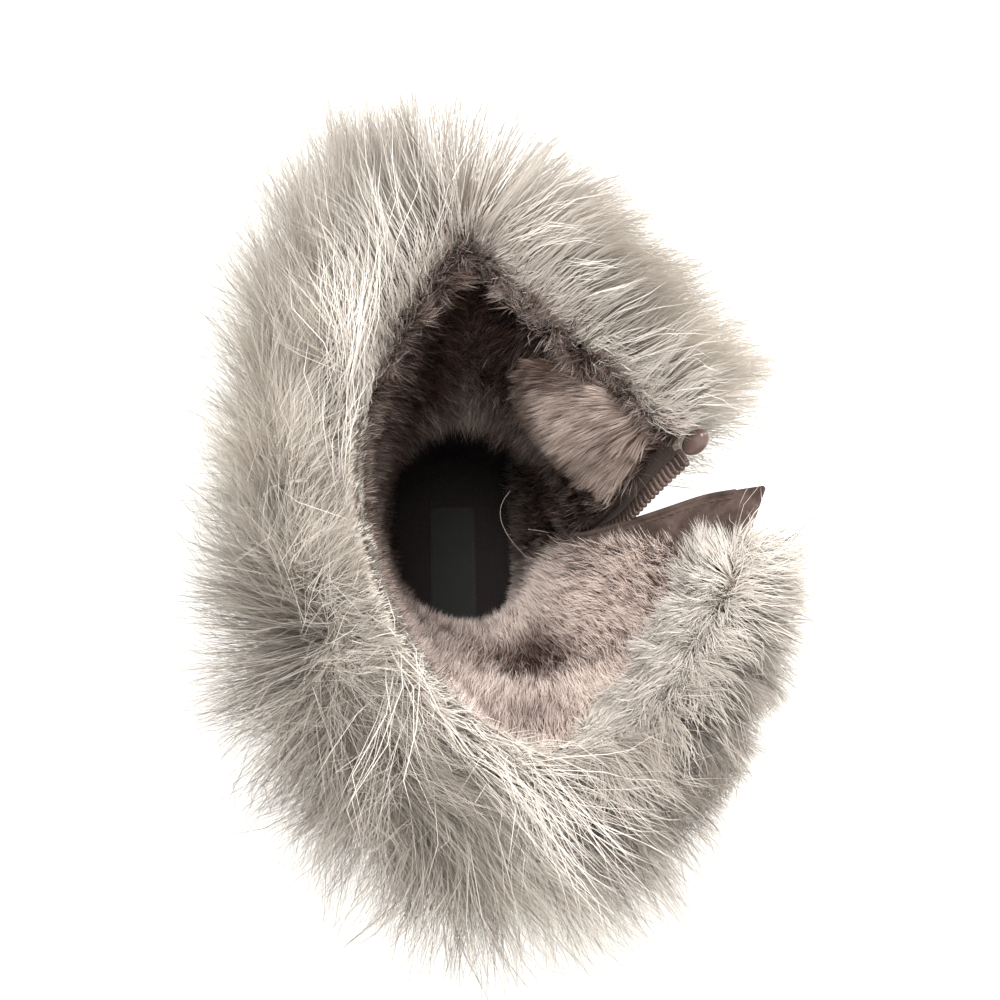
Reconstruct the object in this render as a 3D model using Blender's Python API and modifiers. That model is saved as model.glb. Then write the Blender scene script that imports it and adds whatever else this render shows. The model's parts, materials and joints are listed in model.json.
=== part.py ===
# Winter boot, left foot: suede upper with a long-pile fur cuff, opened at a medial zip.
# Metres, +Z up. The origin is the centre of the heel's ground contact, +Y runs to the toe
# and +X to the medial side, where the zip is. The tables below are in millimetres.

import math

import bmesh
import bpy
from mathutils import Matrix, Vector

MM = 0.001

# Driving sizes, in millimetres.
WALL = 2.6               # suede and its backing
FIT = 0.3                # clearance between pieces that touch
FACET_PLAY = 0.25        # more of it where the facets of unlike curves meet
COLUMNS = 48             # points around the upper, the sole and the insole
UPPER_ROWS = 20
SOLE_FLARE = 6.2         # how far the sole stands out of the upper
LIP_HEIGHT = 7.0         # the sole's wall around the foot of the upper
LIP_LEVEL = 0.62         # the upper's section that the lip's top edge follows
LIP_EDGE_DROP = 0.3      # the lip's inner edge, below its outer edge
LUG_DEPTH = 4.5
LUG_GROOVE = 1.9         # half of the channel between two lugs
LUG_COLUMNS = 5
LUG_ENDS = (-32.0, 230.0)   # lugs stand between these places along the foot
BARE_ARCH = (50.0, 94.0)    # and not between these
CAP_COLUMNS = 2          # across the faces that lie hidden under the foot
INSOLE_THICKNESS = 4.0
INSOLE_EDGE = (1.2, 1.0)    # its bevelled rim, inwards and down
ZIP_PITCH = 5.5
ZIP_ROW_WIDTH = 4.2
ZIP_ROW_THICKNESS = 3.0
TOOTH_FULL = 0.15        # where in a pitch the tooth is full, and where it is a neck
TOOTH_DRAWN = 0.65
TOOTH_NECK = 0.74        # how far the row draws in at the neck
ROUTE_STEPS = 400        # along a zip row while its length is measured
KNOB_RADIUS = 4.2
KNOB_SHAPE = (1.0, 1.15, 0.85)  # across, along and off the zip
KNOB_LAP = 1.7           # how far it reaches back beside the row's end
GUARD_THICKNESS = 1.8
SLIDER_RIDE = 3.75       # the underside of the slider's plate, off the upper
SLIDER_LENGTH = 12.0
SLIDER_PLATE = 1.5
SLIDER_WALL = 1.2
SLIDER_PLAY = 1.1        # between a zip row and the slider's wall
SLIDER_FOOT = 0.6        # the foot of that wall, off the upper
SLIDER_CHAMFER = (0.8, 0.6)     # across and off
BAIL_WIDTH = 2.0
BAIL_OPENING = (3.2, 2.8)   # along the zip, and off the slider's plate
BAIL_BAR = 1.3
BAIL_ROOT = 0.5          # how deep the bail is sunk in the plate
BAIL_CHAMFER = 0.9
PULL_LENGTH = 27.0
PULL_WIDTH = 8.0
PULL_WAIST = (0.72, 0.45)   # share of the width there, and of the length down to it
PULL_CORNERS = (1.0, 2.4)   # cut off at the top and at the foot
PULL_FOOT = (1.44, 0.5)     # the foot's second cut, across and up
PULL_THICKNESS = 1.6
PULL_BAR = 1.5           # the bar that turns in the bail
PULL_EYE = (3.0, 4.4)    # the hole beside that bar, across and along

# The medial slit, as a turn around the section: 0 is the front, 90 the medial side.
SLIT_TURN = 97.5
ZIP_FOOT_LEVEL = 3.3
SLIDER_LEVEL = 9.6
ZIP_TOP_LEVEL = 14.7

# Sections of the upper, from the feather line to the collar. Each is a loop between a
# front point and a back point on the centre line. nose, fore, mid and heel scale its
# half-width along the way back, shift moves its front end to the medial side, bed is its
# share of the footbed's curve, and splay its share of the opened collar's outline.
SECTION_COLUMNS = (
    "front_y", "front_z", "back_y", "back_z",
    "nose", "fore", "mid", "heel", "shift", "bed", "splay",
)
SECTIONS = {
    "feather line": (235.0, 25.2, -32.0, 34.0, 60.0, 53.5, 40.5, 66.0, 8.0, 1.00, 0.00),
    "rand":         (239.0, 36.0, -34.5, 44.0, 62.0, 55.0, 42.0, 67.0, 8.0, 1.00, 0.00),
    "toe bulge":    (239.5, 49.0, -35.5, 55.0, 61.0, 55.0, 42.5, 66.0, 8.0, 0.80, 0.00),
    "toe box":      (233.5, 62.0, -35.0, 66.0, 57.0, 53.0, 42.5, 64.0, 7.5, 0.55, 0.00),
    "toe top":      (220.5, 72.5, -33.5, 75.5, 51.0, 49.0, 42.0, 62.0, 7.0, 0.35, 0.00),
    "low vamp":     (202.0, 80.0, -31.5, 84.0, 46.0, 45.0, 42.0, 60.0, 6.0, 0.20, 0.00),
    "vamp":         (180.0, 86.5, -29.0, 92.0, 43.0, 41.0, 42.0, 58.0, 5.0, 0.10, 0.00),
    "high vamp":    (155.5, 94.0, -27.0, 100.0, 41.0, 38.5, 42.5, 56.0, 4.0, 0.00, 0.00),
    "low instep":   (129.5, 104.0, -25.5, 108.0, 41.0, 38.0, 43.5, 55.0, 3.0, 0.00, 0.00),
    "instep":       (106.0, 117.0, -24.5, 117.0, 41.5, 39.5, 44.5, 54.0, 2.0, 0.00, 0.00),
    "high instep":  (87.5, 132.5, -25.0, 128.0, 42.5, 42.0, 45.5, 53.0, 1.0, 0.00, 0.02),
    "throat":       (76.0, 149.0, -27.0, 142.0, 43.5, 44.5, 46.5, 53.0, 0.0, 0.00, 0.10),
    "ankle":        (71.0, 166.0, -29.5, 158.0, 45.0, 46.0, 47.0, 53.0, 0.0, 0.00, 0.26),
    "low shaft":    (73.0, 184.0, -32.0, 176.0, 45.0, 47.0, 48.0, 53.0, 0.0, 0.00, 0.49),
    "high shaft":   (80.0, 206.0, -34.0, 200.0, 45.0, 47.5, 48.5, 53.0, 0.0, 0.00, 0.77),
    "collar":       (92.0, 232.0, -36.0, 234.0, 45.0, 48.0, 49.0, 53.0, 0.0, 0.00, 1.00),
}
STATIONS = (0.0, 0.3, 0.65, 1.0)       # where nose, fore, mid and heel are read

# Left and right shares of the half-width along the foot, from toe to heel.
ASYMMETRY_COLUMNS = ("station", "lateral", "medial")
ASYMMETRY = {
    "toe":   (0.00, 1.00, 1.00),
    "joint": (0.15, 0.98, 1.03),
    "ball":  (0.30, 0.97, 1.05),
    "waist": (0.47, 1.05, 0.96),
    "arch":  (0.65, 1.08, 0.88),
    "seat":  (0.85, 1.01, 0.98),
    "heel":  (1.00, 1.00, 1.00),
}
ASYMMETRY_TOP = 8.0      # the section at which both sides are alike

# The opened collar's outline, as a turn around the section and a place in plan. rise
# lifts or drops the edge, and late is above 1 where a flap folds out only near its top.
COLLAR_COLUMNS = ("turn", "x", "y", "rise", "late")
COLLAR = {
    "front flap's edge": (97.5, 66.0, 42.0, -7.0, 1.4),
    "front flap":        (64.0, 46.0, 60.0, -2.0, 1.1),
    "front flank":       (33.0, 19.0, 83.0, 0.0, 1.0),
    "by the apex":       (10.0, 1.5, 102.0, 1.0, 1.0),
    "apex":              (0.0, -7.0, 108.0, 1.0, 1.0),
    "past the apex":     (-10.0, -15.5, 102.0, 1.0, 1.0),
    "lateral front":     (-33.0, -31.0, 79.0, 1.0, 1.0),
    "lateral flank":     (-62.0, -44.0, 47.0, 2.0, 1.0),
    "lateral side":      (-90.0, -46.0, 16.0, 2.0, 1.0),
    "lateral rear":      (-117.0, -38.5, -13.0, 2.0, 1.0),
    "rear corner":       (-143.0, -24.5, -39.0, 2.0, 1.0),
    "back":              (-168.0, -6.0, -59.0, 2.0, 1.0),
    "medial back":       (-192.0, 17.0, -68.0, 1.0, 1.0),
    "rear flap":         (-218.0, 46.0, -57.0, -2.0, 1.1),
    "rear flap's side":  (-243.0, 72.0, -30.0, -7.0, 1.4),
    "rear flap's edge":  (-262.5, 89.0, 5.0, -12.0, 1.7),
}

# The sole from the side: the ground line and the footbed.
PROFILE_COLUMNS = ("y", "ground", "footbed")
SOLE_PROFILE = {
    "heel's back": (-41.0, 4.0, 34.0),
    "heel's edge": (-26.0, 0.0, 34.0),
    "heel":        (4.0, 0.0, 33.8),
    "breast":      (42.0, 0.0, 31.5),
    "arch":        (72.0, 8.0, 27.0),
    "shank end":   (102.0, 0.5, 22.5),
    "ball":        (132.0, 0.0, 20.0),
    "joint":       (164.0, 0.0, 19.0),
    "toe break":   (192.0, 1.5, 19.8),
    "toe":         (219.0, 7.0, 22.5),
    "tip":         (249.0, 16.0, 27.5),
}

# Steps and ribs of the sole's side: the share of the way up from the tread to the lip's
# top, and how far the wall stands out of the outline there.
SIDE_COLUMNS = ("up", "out")
SIDE = {
    "tread edge":  (0.00, -1.6),
    "bumper":      (0.10, 0.4),
    "bumper top":  (0.30, 0.4),
    "low groove":  (0.36, -1.2),
    "low rib":     (0.43, 0.0),
    "rib top":     (0.58, -0.2),
    "top groove":  (0.64, -1.6),
    "lip":         (0.72, -0.4),
    "lip's edge":  (1.00, -1.2),
}

# Zip rows from their foot to their top: how far a row's centre lies past the slit's edge,
# and how far it stands off the upper's outer face.
ZIP_COLUMNS = ("level", "past", "off")
ZIP_ROUTE = {
    "foot":        (3.3, -2.4, 1.9),
    "closed":      (9.8, -2.4, 1.9),
    "parting":     (11.0, -2.0, 2.0),
    "half open":   (12.0, -0.4, 2.2),
    "clear":       (12.9, 2.4, 2.2),
    "in the gap":  (13.6, 2.8, -1.1),
    "top":         (15.0, 2.8, -1.1),
}

# The fur cuff's section, around the upper's edge: the section of the upper, how far the
# skin stands off its outer face there, and how far it is lifted. Locks grow from the
# faces between a row named in LOCKS and the next row.
CUFF_COLUMNS = ("level", "off", "lift")
CUFF = {
    "hem inside":        (12.1, 0.7, 0.0),
    "inside low":        (12.63, 0.7, 0.0),
    "inside middle":     (13.42, 0.7, 0.0),
    "inside high":       (14.21, 0.95, 0.0),
    "over the edge":     (15.0, 0.95, 0.5),
    "past the edge":     (15.0, -3.6, 0.5),
    "inner lip":         (15.0, -5.0, 3.5),
    "crest inside":      (15.0, -2.5, 8.5),
    "crest":             (15.0, 4.0, 10.5),
    "shoulder":          (15.0, 10.0, 6.0),
    "high side":         (14.5, 12.0, 0.0),
    "middle side":       (13.8, 11.5, 0.0),
    "low side":          (13.1, 10.0, 0.0),
    "above the hem":     (12.4, 7.0, 0.0),
    "hem":               (12.0, 2.2, 0.0),
}

# Locks of the fur by the row they grow above: reach from the skin, how much they lean
# down the shaft (below 0 up), how far they taper, and how far they follow FUR_LENGTH.
LOCK_COLUMNS = ("reach", "droop", "taper", "follow")
LOCKS = {
    "crest inside":  (15.0, -1.0, 0.40, 0.1),
    "crest":         (22.0, -0.50, 0.30, 0.4),
    "shoulder":      (28.0, -0.10, 0.25, 1.0),
    "high side":     (29.0, 0.10, 0.25, 1.0),
    "middle side":   (28.0, 0.35, 0.25, 1.0),
    "low side":      (26.0, 0.65, 0.25, 1.0),
    "above the hem": (22.0, 1.00, 0.25, 0.8),
}
LOCK_WIDTH = 2           # columns of the cuff that one lock takes
LOCK_LEAN = 0.5          # how far it leans to a side
LOCK_SPREAD = (0.80, 1.10)  # shortest and longest, as a share of its reach

# How long the fur is around the cuff, as a share of the lengths above.
FUR_COLUMNS = ("turn", "share")
FUR_LENGTH = {
    "front flap's edge": (97.5, 0.95),
    "front flank":       (35.0, 1.20),
    "apex":              (0.0, 1.15),
    "lateral front":     (-33.0, 1.55),
    "lateral side":      (-90.0, 1.40),
    "rear corner":       (-145.0, 1.75),
    "back":              (-172.0, 1.50),
    "rear flap":         (-205.0, 0.85),
    "rear flap's side":  (-235.0, 0.75),
    "rear flap's edge":  (-262.5, 0.90),
}
CUFF_END_GAP = 3.0       # degrees of turn between the cuff's end and the slit

# The zip guard sewn behind the rear flap, one column of the upper deep: how far it
# reaches past the flap's edge.
GUARD_COLUMNS = ("level", "reach")
GUARD_ROUTE = {
    "foot":   (11.05, 0.4),
    "low":    (11.84, 2.4),
    "lower":  (12.63, 5.0),
    "middle": (13.42, 8.5),
    "high":   (14.21, 14.5),
    "top":    (14.90, 17.5),
}

# Colour, roughness and metallic value of each finish.
FINISHES = {
    "suede": ((0.098, 0.064, 0.050), 0.92, 0.0),
    "rubber": ((0.030, 0.027, 0.025), 0.62, 0.0),
    "footbed felt": ((0.030, 0.025, 0.024), 0.95, 0.0),
    "long pile": ((0.560, 0.500, 0.420), 0.95, 0.0),
    "guard suede": ((0.130, 0.088, 0.072), 0.90, 0.0),
    "zip plastic": ((0.170, 0.110, 0.098), 0.42, 0.0),
    "slider metal": ((0.300, 0.240, 0.200), 0.35, 1.0),
}


def clear_scene():
    for thing in list(bpy.data.objects):
        bpy.data.objects.remove(thing, do_unlink=True)


def new_collection(name):
    collection = bpy.data.collections.new(name)
    bpy.context.scene.collection.children.link(collection)
    return collection


def make_material(name):
    colour, roughness, metallic = FINISHES[name]
    material = bpy.data.materials.new(name)
    material.use_nodes = True
    shader = material.node_tree.nodes["Principled BSDF"]
    shader.inputs["Base Color"].default_value = (*colour, 1.0)
    shader.inputs["Roughness"].default_value = roughness
    shader.inputs["Metallic"].default_value = metallic
    return material


def add_object(name, bm, collection, material, sharp_degrees=35.0):
    mesh = bpy.data.meshes.new(name)
    bm.to_mesh(mesh)
    bm.free()
    mesh.shade_smooth()
    mesh.set_sharp_from_angle(angle=math.radians(sharp_degrees))
    mesh.materials.append(material)
    thing = bpy.data.objects.new(name, mesh)
    collection.objects.link(thing)
    return thing


def column(table, names, name):
    place = names.index(name)
    return [row[place] for row in table.values()]


def rows(table, names):
    return [dict(zip(names, row)) for row in table.values()]


def smooth_read(keys, values, key):
    """Read a smooth curve through pairs whose keys rise, held level past both ends."""
    if key <= keys[0]:
        return values[0]
    if key >= keys[-1]:
        return values[-1]
    i = max(k for k in range(len(keys) - 1) if keys[k] <= key)

    def slope(k):
        low = max(k - 1, 0)
        high = min(k + 1, len(keys) - 1)
        return (values[high] - values[low]) / (keys[high] - keys[low])

    span = keys[i + 1] - keys[i]
    t = (key - keys[i]) / span
    return (
        (2 * t ** 3 - 3 * t ** 2 + 1) * values[i]
        + (t ** 3 - 2 * t ** 2 + t) * span * slope(i)
        + (3 * t ** 2 - 2 * t ** 3) * values[i + 1]
        + (t ** 3 - t ** 2) * span * slope(i + 1)
    )


def section_value(level, name):
    values = column(SECTIONS, SECTION_COLUMNS, name)
    return smooth_read(list(range(len(values))), values, level)


def sole_height(name, y):
    height = smooth_read(
        column(SOLE_PROFILE, PROFILE_COLUMNS, "y"),
        column(SOLE_PROFILE, PROFILE_COLUMNS, name),
        y,
    )
    return max(height, 0.0)


def collar_value(name, turn):
    turns = [-t for t in column(COLLAR, COLLAR_COLUMNS, "turn")]
    return smooth_read(turns, column(COLLAR, COLLAR_COLUMNS, name), -turn)


def side_share(name, station):
    return smooth_read(
        column(ASYMMETRY, ASYMMETRY_COLUMNS, "station"),
        column(ASYMMETRY, ASYMMETRY_COLUMNS, name),
        station,
    )


def upper_point(level, turn):
    """Point of the upper's outer face, in millimetres, at a section and a turn."""
    angle = math.radians(turn)
    station = (1.0 - math.cos(angle)) / 2.0
    front_y = section_value(level, "front_y")
    back_y = section_value(level, "back_y")
    front_z = section_value(level, "front_z")
    back_z = section_value(level, "back_z")
    y = front_y + (back_y - front_y) * station
    z = front_z + (back_z - front_z) * station
    bed_front = sole_height("footbed", front_y)
    bed_back = sole_height("footbed", back_y)
    bed_line = bed_front + (bed_back - bed_front) * station
    z += section_value(level, "bed") * (sole_height("footbed", y) - bed_line)
    fullness = smooth_read(
        STATIONS,
        [section_value(level, name) for name in ("nose", "fore", "mid", "heel")],
        station,
    )
    side = "medial" if math.sin(angle) >= 0.0 else "lateral"
    evenness = min(max(level / ASYMMETRY_TOP, 0.0), 1.0)
    share = side_share(side, station)
    fullness *= share + (1.0 - share) * evenness
    x = fullness * math.sin(angle)
    x += section_value(level, "shift") * (1.0 - station) ** 3
    splay = max(section_value(level, "splay"), 0.0) ** collar_value("late", turn)
    x += (collar_value("x", turn) - x) * splay
    y += (collar_value("y", turn) - y) * splay
    z += collar_value("rise", turn) * splay ** 2
    return Vector((x, y, z))


def upper_frame(level, turn):
    """Point, outward normal, forward turn direction and upward direction, unit vectors."""
    lowest_turn = SLIT_TURN - 360.0
    top = len(SECTIONS) - 1.0
    ahead = upper_point(level, min(turn + 1.0, SLIT_TURN))
    behind = upper_point(level, max(turn - 1.0, lowest_turn))
    above = upper_point(min(level + 0.05, top), turn)
    below = upper_point(max(level - 0.05, 0.0), turn)
    along = (ahead - behind).normalized()
    up = (above - below).normalized()
    return upper_point(level, turn), up.cross(along).normalized(), along, up


def plan_point(level, turn, out, z):
    """Point out of a section's outline, square to it in plan."""
    ahead = upper_point(level, turn + 0.5)
    behind = upper_point(level, turn - 0.5)
    along = Vector((ahead.x - behind.x, ahead.y - behind.y, 0.0)).normalized()
    square = Vector((-along.y, along.x, 0.0))
    here = upper_point(level, turn)
    return Vector((here.x, here.y, z)) + square * out


def bridge_rings(bm, rings, closed=True):
    """Quads between neighbouring rings of equal length."""
    faces = []
    for low, high in zip(rings, rings[1:]):
        count = len(low)
        for i in range(count if closed else count - 1):
            j = (i + 1) % count
            faces.append(bm.faces.new((low[i], low[j], high[j], high[i])))
    return faces


def face_outward(bm):
    bmesh.ops.recalc_face_normals(bm, faces=bm.faces)
    if bm.calc_volume(signed=True) < 0.0:
        bmesh.ops.reverse_faces(bm, faces=bm.faces)


def add_ring(bm, points):
    return [bm.verts.new(point * MM) for point in points]


def make_upper(collection, material):
    bm = bmesh.new()
    top = len(SECTIONS) - 1.0
    rings = []
    for row in range(UPPER_ROWS):
        level = top * row / (UPPER_ROWS - 1)
        turns = [SLIT_TURN - 360.0 * k / COLUMNS for k in range(COLUMNS + 1)]
        rings.append(add_ring(bm, [upper_point(level, turn) for turn in turns]))
    bridge_rings(bm, rings, closed=False)
    bmesh.ops.remove_doubles(bm, verts=bm.verts, dist=0.00002)
    upper = add_object("upper", bm, collection, material)
    shell = upper.modifiers.new("wall", "SOLIDIFY")
    shell.thickness = WALL * MM
    shell.offset = -1.0
    shell.use_even_offset = True
    return upper


def cap_across(bm, ring, lines, height):
    """Close a ring with straight rows across it; returns the grid's quads."""
    half = len(ring) // 2
    rows = []
    for i in range(1, half):
        right, left = ring[i], ring[-i]
        row = [right]
        for k in range(1, lines):
            place = right.co.lerp(left.co, k / lines)
            place.z = height(place.y / MM) * MM
            row.append(bm.verts.new(place))
        row.append(left)
        rows.append(row)
    grid = bridge_rings(bm, rows, closed=False)
    for tip, row in ((ring[0], rows[0]), (ring[half], rows[-1])):
        for a, b in zip(row, row[1:]):
            bm.faces.new((tip, a, b))
    return grid


def carries_lug(y):
    in_arch = BARE_ARCH[0] < y < BARE_ARCH[1]
    return LUG_ENDS[0] < y < LUG_ENDS[1] and not in_arch


def make_outsole(collection, material):
    bm = bmesh.new()
    turns = [-360.0 * k / COLUMNS for k in range(COLUMNS)]

    def side_ring(up, out):
        points = []
        for turn in turns:
            y = plan_point(0.0, turn, SOLE_FLARE + out, 0.0).y
            low = sole_height("ground", y) + LUG_DEPTH
            high = sole_height("footbed", y) + LIP_HEIGHT
            points.append(plan_point(0.0, turn, SOLE_FLARE + out, low + (high - low) * up))
        return add_ring(bm, points)

    def seat_ring(level, rise):
        points = []
        for turn in turns:
            height = sole_height("footbed", upper_point(level, turn).y) + rise
            points.append(plan_point(level, turn, FIT + FACET_PLAY, height))
        return add_ring(bm, points)

    rings = [side_ring(**row) for row in rows(SIDE, SIDE_COLUMNS)]
    rings.append(seat_ring(LIP_LEVEL, LIP_HEIGHT - LIP_EDGE_DROP))
    rings.append(seat_ring(0.0, -FIT))
    bridge_rings(bm, rings)
    cap_across(bm, rings[-1], CAP_COLUMNS, lambda y: sole_height("footbed", y) - FIT)
    tread = cap_across(bm, rings[0], LUG_COLUMNS, lambda y: sole_height("ground", y) + LUG_DEPTH)
    lugs = [face for face in tread if carries_lug(face.calc_center_median().y / MM)]
    bm.normal_update()
    bmesh.ops.inset_individual(bm, faces=lugs, thickness=LUG_GROOVE * MM, use_even_offset=True)
    moved = bmesh.ops.extrude_discrete_faces(bm, faces=lugs)["faces"]
    for face in moved:
        for vert in face.verts:
            vert.co.z = sole_height("ground", vert.co.y / MM) * MM
    face_outward(bm)
    return add_object("outsole", bm, collection, material)


def make_insole(collection, material):
    bm = bmesh.new()
    turns = [-360.0 * k / COLUMNS for k in range(COLUMNS)]
    inset = -(WALL + FIT + 2.0 * FACET_PLAY)
    bevel_in, bevel_down = INSOLE_EDGE

    def ring(rise, out):
        points = []
        for turn in turns:
            y = upper_point(0.0, turn).y
            points.append(plan_point(0.0, turn, out, sole_height("footbed", y) + rise))
        return add_ring(bm, points)

    bottom = ring(0.0, inset)
    side = ring(INSOLE_THICKNESS - bevel_down, inset)
    rim = ring(INSOLE_THICKNESS, inset - bevel_in)
    bridge_rings(bm, [bottom, side, rim])
    cap_across(bm, bottom, CAP_COLUMNS, lambda y: sole_height("footbed", y))
    cap_across(bm, rim, CAP_COLUMNS, lambda y: sole_height("footbed", y) + INSOLE_THICKNESS)
    face_outward(bm)
    return add_object("insole", bm, collection, material)


def table_value(table, names, name, key_name, key):
    """Read a table's column at a key whose own column rises or falls."""
    keys = column(table, names, key_name)
    values = column(table, names, name)
    if keys[0] > keys[-1]:
        return smooth_read([-k for k in keys], values, -key)
    return smooth_read(keys, values, key)


def unit_noise(*seeds):
    """A repeatable value from 0 to 1 for whole-number seeds."""
    mixed = math.sin(sum(seed * weight for seed, weight in zip(seeds, (12.99, 78.23, 37.72))))
    return (mixed * 43758.5453) % 1.0


def make_cuff(collection, material):
    bm = bmesh.new()
    first = SLIT_TURN - CUFF_END_GAP
    last = SLIT_TURN - 360.0 + CUFF_END_GAP
    turns = [first]
    turns += [SLIT_TURN - 360.0 * k / COLUMNS for k in range(1, COLUMNS)]
    turns.append(last)
    rings = []
    for row in rows(CUFF, CUFF_COLUMNS):
        points = []
        for turn in turns:
            here, normal, along, up = upper_frame(row["level"], turn)
            points.append(here + normal * row["off"] + Vector((0.0, 0.0, row["lift"])))
        rings.append(add_ring(bm, points))
    bridge_rings(bm, rings + rings[:1], closed=False)
    bm.faces.new([ring[0] for ring in rings])
    bm.faces.new([ring[-1] for ring in reversed(rings)])
    face_outward(bm)
    bm.normal_update()

    names = list(CUFF)
    for name, lock in zip(LOCKS, rows(LOCKS, LOCK_COLUMNS)):
        row = names.index(name)
        low, high = rings[row], rings[row + 1]
        for start in range(-(row % LOCK_WIDTH), len(turns) - 1, LOCK_WIDTH):
            span = range(max(start, 0), min(start + LOCK_WIDTH, len(turns) - 1))
            faces = [face_between(low[k], low[k + 1], high[k]) for k in span]
            share = table_value(FUR_LENGTH, FUR_COLUMNS, "share", "turn", turns[span[0]])
            reach = lock["reach"] * (1.0 + (share - 1.0) * lock["follow"])
            grow_lock(bm, faces, reach, lock["droop"], lock["taper"], (row, start))
    bmesh.ops.triangulate(bm, faces=bm.faces)
    face_outward(bm)
    return add_object("fur_cuff", bm, collection, material)


def face_between(*corners):
    return next(f for f in corners[0].link_faces if set(corners) <= set(f.verts))


def grow_lock(bm, faces, reach, droop, taper, seeds):
    """Draw neighbouring faces of the fur's skin out into one tapered lock."""
    outward = sum((face.normal for face in faces), Vector()).normalized()
    lean = Vector((unit_noise(*seeds, 1) - 0.5, unit_noise(*seeds, 2) - 0.5, 0.0)) * LOCK_LEAN
    way = (outward + Vector((0.0, 0.0, -droop)) + lean).normalized()
    shortest, longest = LOCK_SPREAD
    length = reach * (shortest + (longest - shortest) * unit_noise(*seeds, 3)) * MM
    grown = bmesh.ops.extrude_face_region(bm, geom=faces)["geom"]
    bmesh.ops.delete(bm, geom=faces, context="FACES_ONLY")
    tip = [part for part in grown if isinstance(part, bmesh.types.BMVert)]
    centre = sum((vert.co for vert in tip), Vector()) / len(tip)
    for vert in tip:
        vert.co = centre + (vert.co - centre) * taper + way * length


def slit_frame(level, flap):
    """Frame of the slit's edge on the front flap (1) or the rear flap (-1).

    The third vector points from the flap into the gap, square to the edge."""
    turn = SLIT_TURN if flap > 0 else SLIT_TURN - 360.0
    here, normal, along, up = upper_frame(level, turn)
    edge = (slit_point(level + 0.1, turn) - slit_point(level - 0.1, turn)).normalized()
    into = edge.cross(normal).normalized() * flap
    if into.dot(along) * flap < 0.0:
        into = -into
    return here, normal, into, edge


def slit_point(level, turn):
    return upper_point(min(max(level, 0.0), len(SECTIONS) - 1.0), turn)


def make_zip_row(name, flap, collection, material):
    """One side of the zip: a coil on its tape, stepped tooth by tooth."""
    bm = bmesh.new()
    places = []
    walked = 0.0
    for k in range(ROUTE_STEPS + 1):
        level = ZIP_FOOT_LEVEL + (ZIP_TOP_LEVEL - ZIP_FOOT_LEVEL) * k / ROUTE_STEPS
        here, normal, into, edge = slit_frame(level, flap)
        past = table_value(ZIP_ROUTE, ZIP_COLUMNS, "past", "level", level)
        off = table_value(ZIP_ROUTE, ZIP_COLUMNS, "off", "level", level)
        centre = here + into * past + normal * off
        if places:
            walked += (centre - places[-1][1]).length
        places.append((walked, centre, normal, into))
    count = int(walked / ZIP_PITCH)
    rings = []
    for tooth in range(count):
        for part, width in ((TOOTH_FULL, 1.0), (TOOTH_DRAWN, TOOTH_NECK)):
            target = walked * (tooth + part) / count
            centre, normal, into = min(places, key=lambda p: abs(p[0] - target))[1:]
            back = centre - into * ZIP_ROW_WIDTH / 2.0
            front = back + into * ZIP_ROW_WIDTH * width
            high = normal * ZIP_ROW_THICKNESS / 2.0
            rings.append(add_ring(bm, [
                back - high,
                front - high * width,
                front + high * width,
                back + high,
            ]))
    bridge_rings(bm, rings)
    bm.faces.new(rings[0])
    bm.faces.new(list(reversed(rings[-1])))
    face_outward(bm)
    return add_object(name, bm, collection, material)


def place_by(thing, origin, across, along, off):
    """Set an object down with its X, Y and Z axes along three world directions."""
    turn = Matrix((across, along, off)).transposed().to_4x4()
    thing.matrix_world = Matrix.Translation(origin * MM) @ turn


def make_end_knob(collection, material):
    bm = bmesh.new()
    bmesh.ops.create_uvsphere(bm, u_segments=10, v_segments=7, radius=KNOB_RADIUS * MM)
    bmesh.ops.scale(bm, vec=KNOB_SHAPE, verts=bm.verts)
    knob = add_object("zip_end_knob", bm, collection, material, 60.0)
    here, normal, into, edge = slit_frame(ZIP_TOP_LEVEL, 1)
    past = KNOB_RADIUS + FIT
    off = table_value(ZIP_ROUTE, ZIP_COLUMNS, "off", "level", ZIP_TOP_LEVEL)
    centre = here + into * past + normal * off
    centre += edge * (KNOB_RADIUS * KNOB_SHAPE[1] - KNOB_LAP)
    place_by(knob, centre, edge.cross(normal), edge, normal)
    return knob


def make_guard(collection, material):
    """A strip of suede sewn behind the rear flap, standing past its edge."""
    bm = bmesh.new()
    rings = []
    near = -(WALL + FIT + 2.0 * FACET_PLAY)
    far = near - GUARD_THICKNESS
    for row in rows(GUARD_ROUTE, GUARD_COLUMNS):
        here, normal, into, edge = slit_frame(row["level"], -1)
        seam, seam_normal = upper_frame(row["level"], SLIT_TURN - 360.0 + 360.0 / COLUMNS)[:2]
        free_edge = here + into * row["reach"]
        rings.append(add_ring(bm, [
            seam + seam_normal * near,
            here + normal * near,
            free_edge + normal * near,
            free_edge + normal * far,
            here + normal * far,
            seam + seam_normal * far,
        ]))
    bridge_rings(bm, rings)
    bm.faces.new(rings[0])
    bm.faces.new(list(reversed(rings[-1])))
    face_outward(bm)
    return add_object("zip_guard", bm, collection, material)


def extrude_outline(bm, points, plane, low, high):
    """A prism on an outline in the XZ or YZ plane, between two places on the third axis."""
    def place(a, b, depth):
        return Vector((a, depth, b)) if plane == "XZ" else Vector((depth, a, b))

    ends = [add_ring(bm, [place(a, b, depth) for a, b in points]) for depth in (low, high)]
    bridge_rings(bm, ends)
    bm.faces.new(ends[0])
    bm.faces.new(list(reversed(ends[1])))
    face_outward(bm)


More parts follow.
